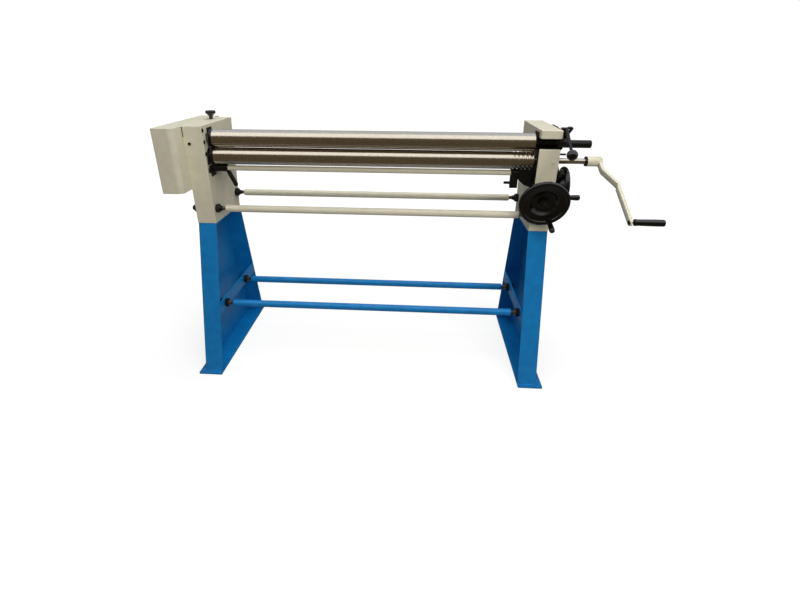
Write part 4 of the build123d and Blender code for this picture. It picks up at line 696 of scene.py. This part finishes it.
ball_middle = Vector((BALL_X, LEVER_Y, LEVER_Z)) + climb + fall
ball = [(0, 20), (2.4, 19.85), (5.2, 19.3), (8.5, 18.1), (12, 16), (15.3, 12.9), (17.8, 9.1), (19.4, 4.9),
        (20, 0.5), (19.8, 0), (20, -0.5), (19.4, -4.9), (17.8, -9.1), (15.3, -12.9), (12, -16), (8.5, -18.1),
        (7.4, -18.6), (6.9, -19.6), (0, -19.6)]
lathe_piece("lever_ball", "ball_knob", ball, GRIP_SIDES,
            at(*ball_middle) @ fall.to_track_quat("Z", "Y").to_matrix().to_4x4(),
            replaces=("ball_knob",), crease=FINE_CREASE_FROM)

top_knob = [(0, 36), (19.4, 36), (21.2, 35.2), (22, 33.4), (22, 27), (21.4, 25.2), (19.6, 23.6), (14, 18.5),
            (10, 14.5), (8.4, 10.5), (8, 5), (8, 0.3), (6, 0), (6, -19.7), (0, -19.7)]
lathe_piece("top_screw_knob", "top_knob", top_knob, KNOB_SIDES, at(*TOP_KNOB),
            replaces=("top_knob",), crease=FINE_CREASE_FROM)


# ---------------------------------------------------------------- stage

def soft_light(name, place, target, width, depth, watts, colour=(1, 1, 1)):
    """A rectangular softbox that looks at a point and isn't seen in the steel."""
    light = bpy.data.lights.new(name, "AREA")
    light.shape = "RECTANGLE"
    light.size, light.size_y, light.energy = width, depth, watts
    light.color = colour
    lamp = bpy.data.objects.new(name, light)
    bpy.context.scene.collection.objects.link(lamp)
    lamp.location = place
    lamp.rotation_euler = (Vector(target) - Vector(place)).to_track_quat("-Z", "Y").to_euler()
    lamp.visible_glossy = False


# The floor takes the part's shadow. The eye sees it grey under the part, fading to white further out
bpy.ops.object.select_all(action="DESELECT")
bpy.ops.mesh.primitive_plane_add(size=60, location=(0, 0, 0))
floor = bpy.context.object
floor.name = "studio_floor"
floor_paint, floor_tree = blank_material("studio_floor_paint")
floor_place = add(floor_tree, "ShaderNodeTexCoord").outputs["Object"]
floor_reach = add(floor_tree, "ShaderNodeVectorMath", {0: floor_place}, operation="LENGTH").outputs["Value"]
floor_fade = add(floor_tree, "ShaderNodeMapRange", {"Value": floor_reach},
                 {"From Min": 0.8, "From Max": 3.2, "To Min": 0.78, "To Max": 1.0})
floor_base = add(floor_tree, "ShaderNodeBsdfDiffuse", sockets={"Color": linear("#9A9A9A")})
floor_path = add(floor_tree, "ShaderNodeLightPath")
floor_glow = add(floor_tree, "ShaderNodeEmission", {"Strength": floor_fade})
floor_dark = add(floor_tree, "ShaderNodeEmission", sockets={"Strength": 0.0})
floor_seen = add(floor_tree, "ShaderNodeMixShader",
                 {0: floor_path.outputs["Is Camera Ray"], 1: floor_dark, 2: floor_glow})
floor_sum = add(floor_tree, "ShaderNodeAddShader", {0: floor_base, 1: floor_seen})
add(floor_tree, "ShaderNodeOutputMaterial", {"Surface": floor_sum})
floor.data.materials.append(floor_paint)

# White behind the part, a cool white in its reflections, and a weak fill everywhere else
world = bpy.data.worlds.new("studio")
bpy.context.scene.world = world
world.use_nodes = True
sky = world.node_tree
sky.nodes.clear()
sky_path = add(sky, "ShaderNodeLightPath")
sky_seen = add(sky, "ShaderNodeMath", operation="MAXIMUM",
               links={0: sky_path.outputs["Is Camera Ray"], 1: sky_path.outputs["Is Glossy Ray"]})
sky_tint = add(sky, "ShaderNodeMix", {0: sky_path.outputs["Is Glossy Ray"]},
               {6: (1, 1, 1, 1), 7: (0.76, 0.84, 0.98, 1)}, data_type="RGBA").outputs[2]
sky_white = add(sky, "ShaderNodeBackground", {"Color": sky_tint}, {"Strength": 1.0})
sky_soft = add(sky, "ShaderNodeBackground", sockets={"Color": (1, 1, 1, 1), "Strength": 0.13})
sky_mix = add(sky, "ShaderNodeMixShader", {0: sky_seen, 1: sky_soft, 2: sky_white})
add(sky, "ShaderNodeOutputWorld", {"Surface": sky_mix})


def reflected_card(name, corners, colour, strength):
    """A flat glowing card that only reflections see, and that lights nothing: a painted reflection in the
    steel, dark as the dim shop round a machine, or bright as a lit ceiling.
    """
    bpy.ops.mesh.primitive_plane_add(size=2, location=(0, 0, 0))
    card = bpy.context.object
    card.name = name
    for vertex, corner in zip(card.data.vertices, corners):
        vertex.co = corner
    paint, tree = blank_material(name + "_cloth")
    glow = add(tree, "ShaderNodeEmission", sockets={"Color": linear(colour), "Strength": strength})
    add(tree, "ShaderNodeOutputMaterial", {"Surface": glow})
    card.data.materials.append(paint)
    card.visible_camera = card.visible_diffuse = card.visible_shadow = False
    card.visible_transmission = False


def spread(half_width, *edges):
    """Corners of a card between two edges along X, each given as (y, z) in m."""
    return [(x, y, z) for y, z in edges for x in (-half_width, half_width)]


# Cards that paint reflections only: brown ones paint a dim shop's reflection below, in front and behind, and
# a white one paints the ceiling's highlight band in the steel; none lights the part
SHOP_REFLECTION_BROWN, CEILING_HIGHLIGHT_WHITE = "#544A3A", "#FFFFFF"
FRONT_Y, BACK_Y, WALL_FOOT, WALL_TOP = -3.9, 3.0, 0.4, 3.7
reflected_card("floor_reflection_card", spread(4, (-0.55, 0.05), (FRONT_Y, WALL_FOOT)), SHOP_REFLECTION_BROWN, 1.25)
reflected_card("wall_reflection_card", spread(6, (FRONT_Y, WALL_FOOT), (FRONT_Y, WALL_TOP)), SHOP_REFLECTION_BROWN, 1.25)
reflected_card("back_reflection_card", spread(6, (BACK_Y, 0.0), (BACK_Y, 2.6)), SHOP_REFLECTION_BROWN, 1.0)
reflected_card("ceiling_highlight_card", spread(6, (FRONT_Y, WALL_TOP), (-0.3, 4.6)), CEILING_HIGHLIGHT_WHITE, 1.55)

soft_light("overhead_softbox", (0.1, -0.2, 3.4), (0.0, -0.2, 0.8), width=4.0, depth=2.2, watts=80)
soft_light("front_softbox", (1.4, -3.5, 2.7), (0, 0, 0.8), width=2.4, depth=2.0, watts=80,
           colour=(1.0, 0.95, 0.84))

scene = bpy.context.scene
scene.view_settings.view_transform = "Standard"

# The camera that was fitted to the photograph, whose picture is 800 by 596 pixels
PICTURE_WIDTH, PICTURE_HEIGHT, SENSOR_MM = 800, 596, 36.0
FOCAL_PX, CENTRE_X_PX, CENTRE_Y_PX = 509.33, 380.10, 257.82
YAW, PITCH, ROLL = math.radians(-3.99), math.radians(21.28), math.radians(0.18)

camera_data = bpy.data.cameras.new("photo_camera")
camera_data.sensor_width = SENSOR_MM
camera_data.lens = SENSOR_MM * FOCAL_PX / PICTURE_WIDTH
camera_data.shift_x = (PICTURE_WIDTH / 2 - CENTRE_X_PX) / PICTURE_WIDTH
camera_data.shift_y = -(PICTURE_HEIGHT / 2 - CENTRE_Y_PX) / PICTURE_WIDTH
camera = bpy.data.objects.new("photo_camera", camera_data)
scene.collection.objects.link(camera)
forward = Vector((math.sin(YAW) * math.cos(PITCH), math.cos(YAW) * math.cos(PITCH), -math.sin(PITCH)))
level = Vector((math.cos(YAW), -math.sin(YAW), 0))
above = level.cross(forward)
right = level * math.cos(ROLL) + above * math.sin(ROLL)
upward = above * math.cos(ROLL) - level * math.sin(ROLL)
camera_turn = Matrix((right, upward, -forward)).transposed().to_4x4()
camera.matrix_world = at(189.6, -2248.0, 1338.1) @ camera_turn
scene.camera = camera
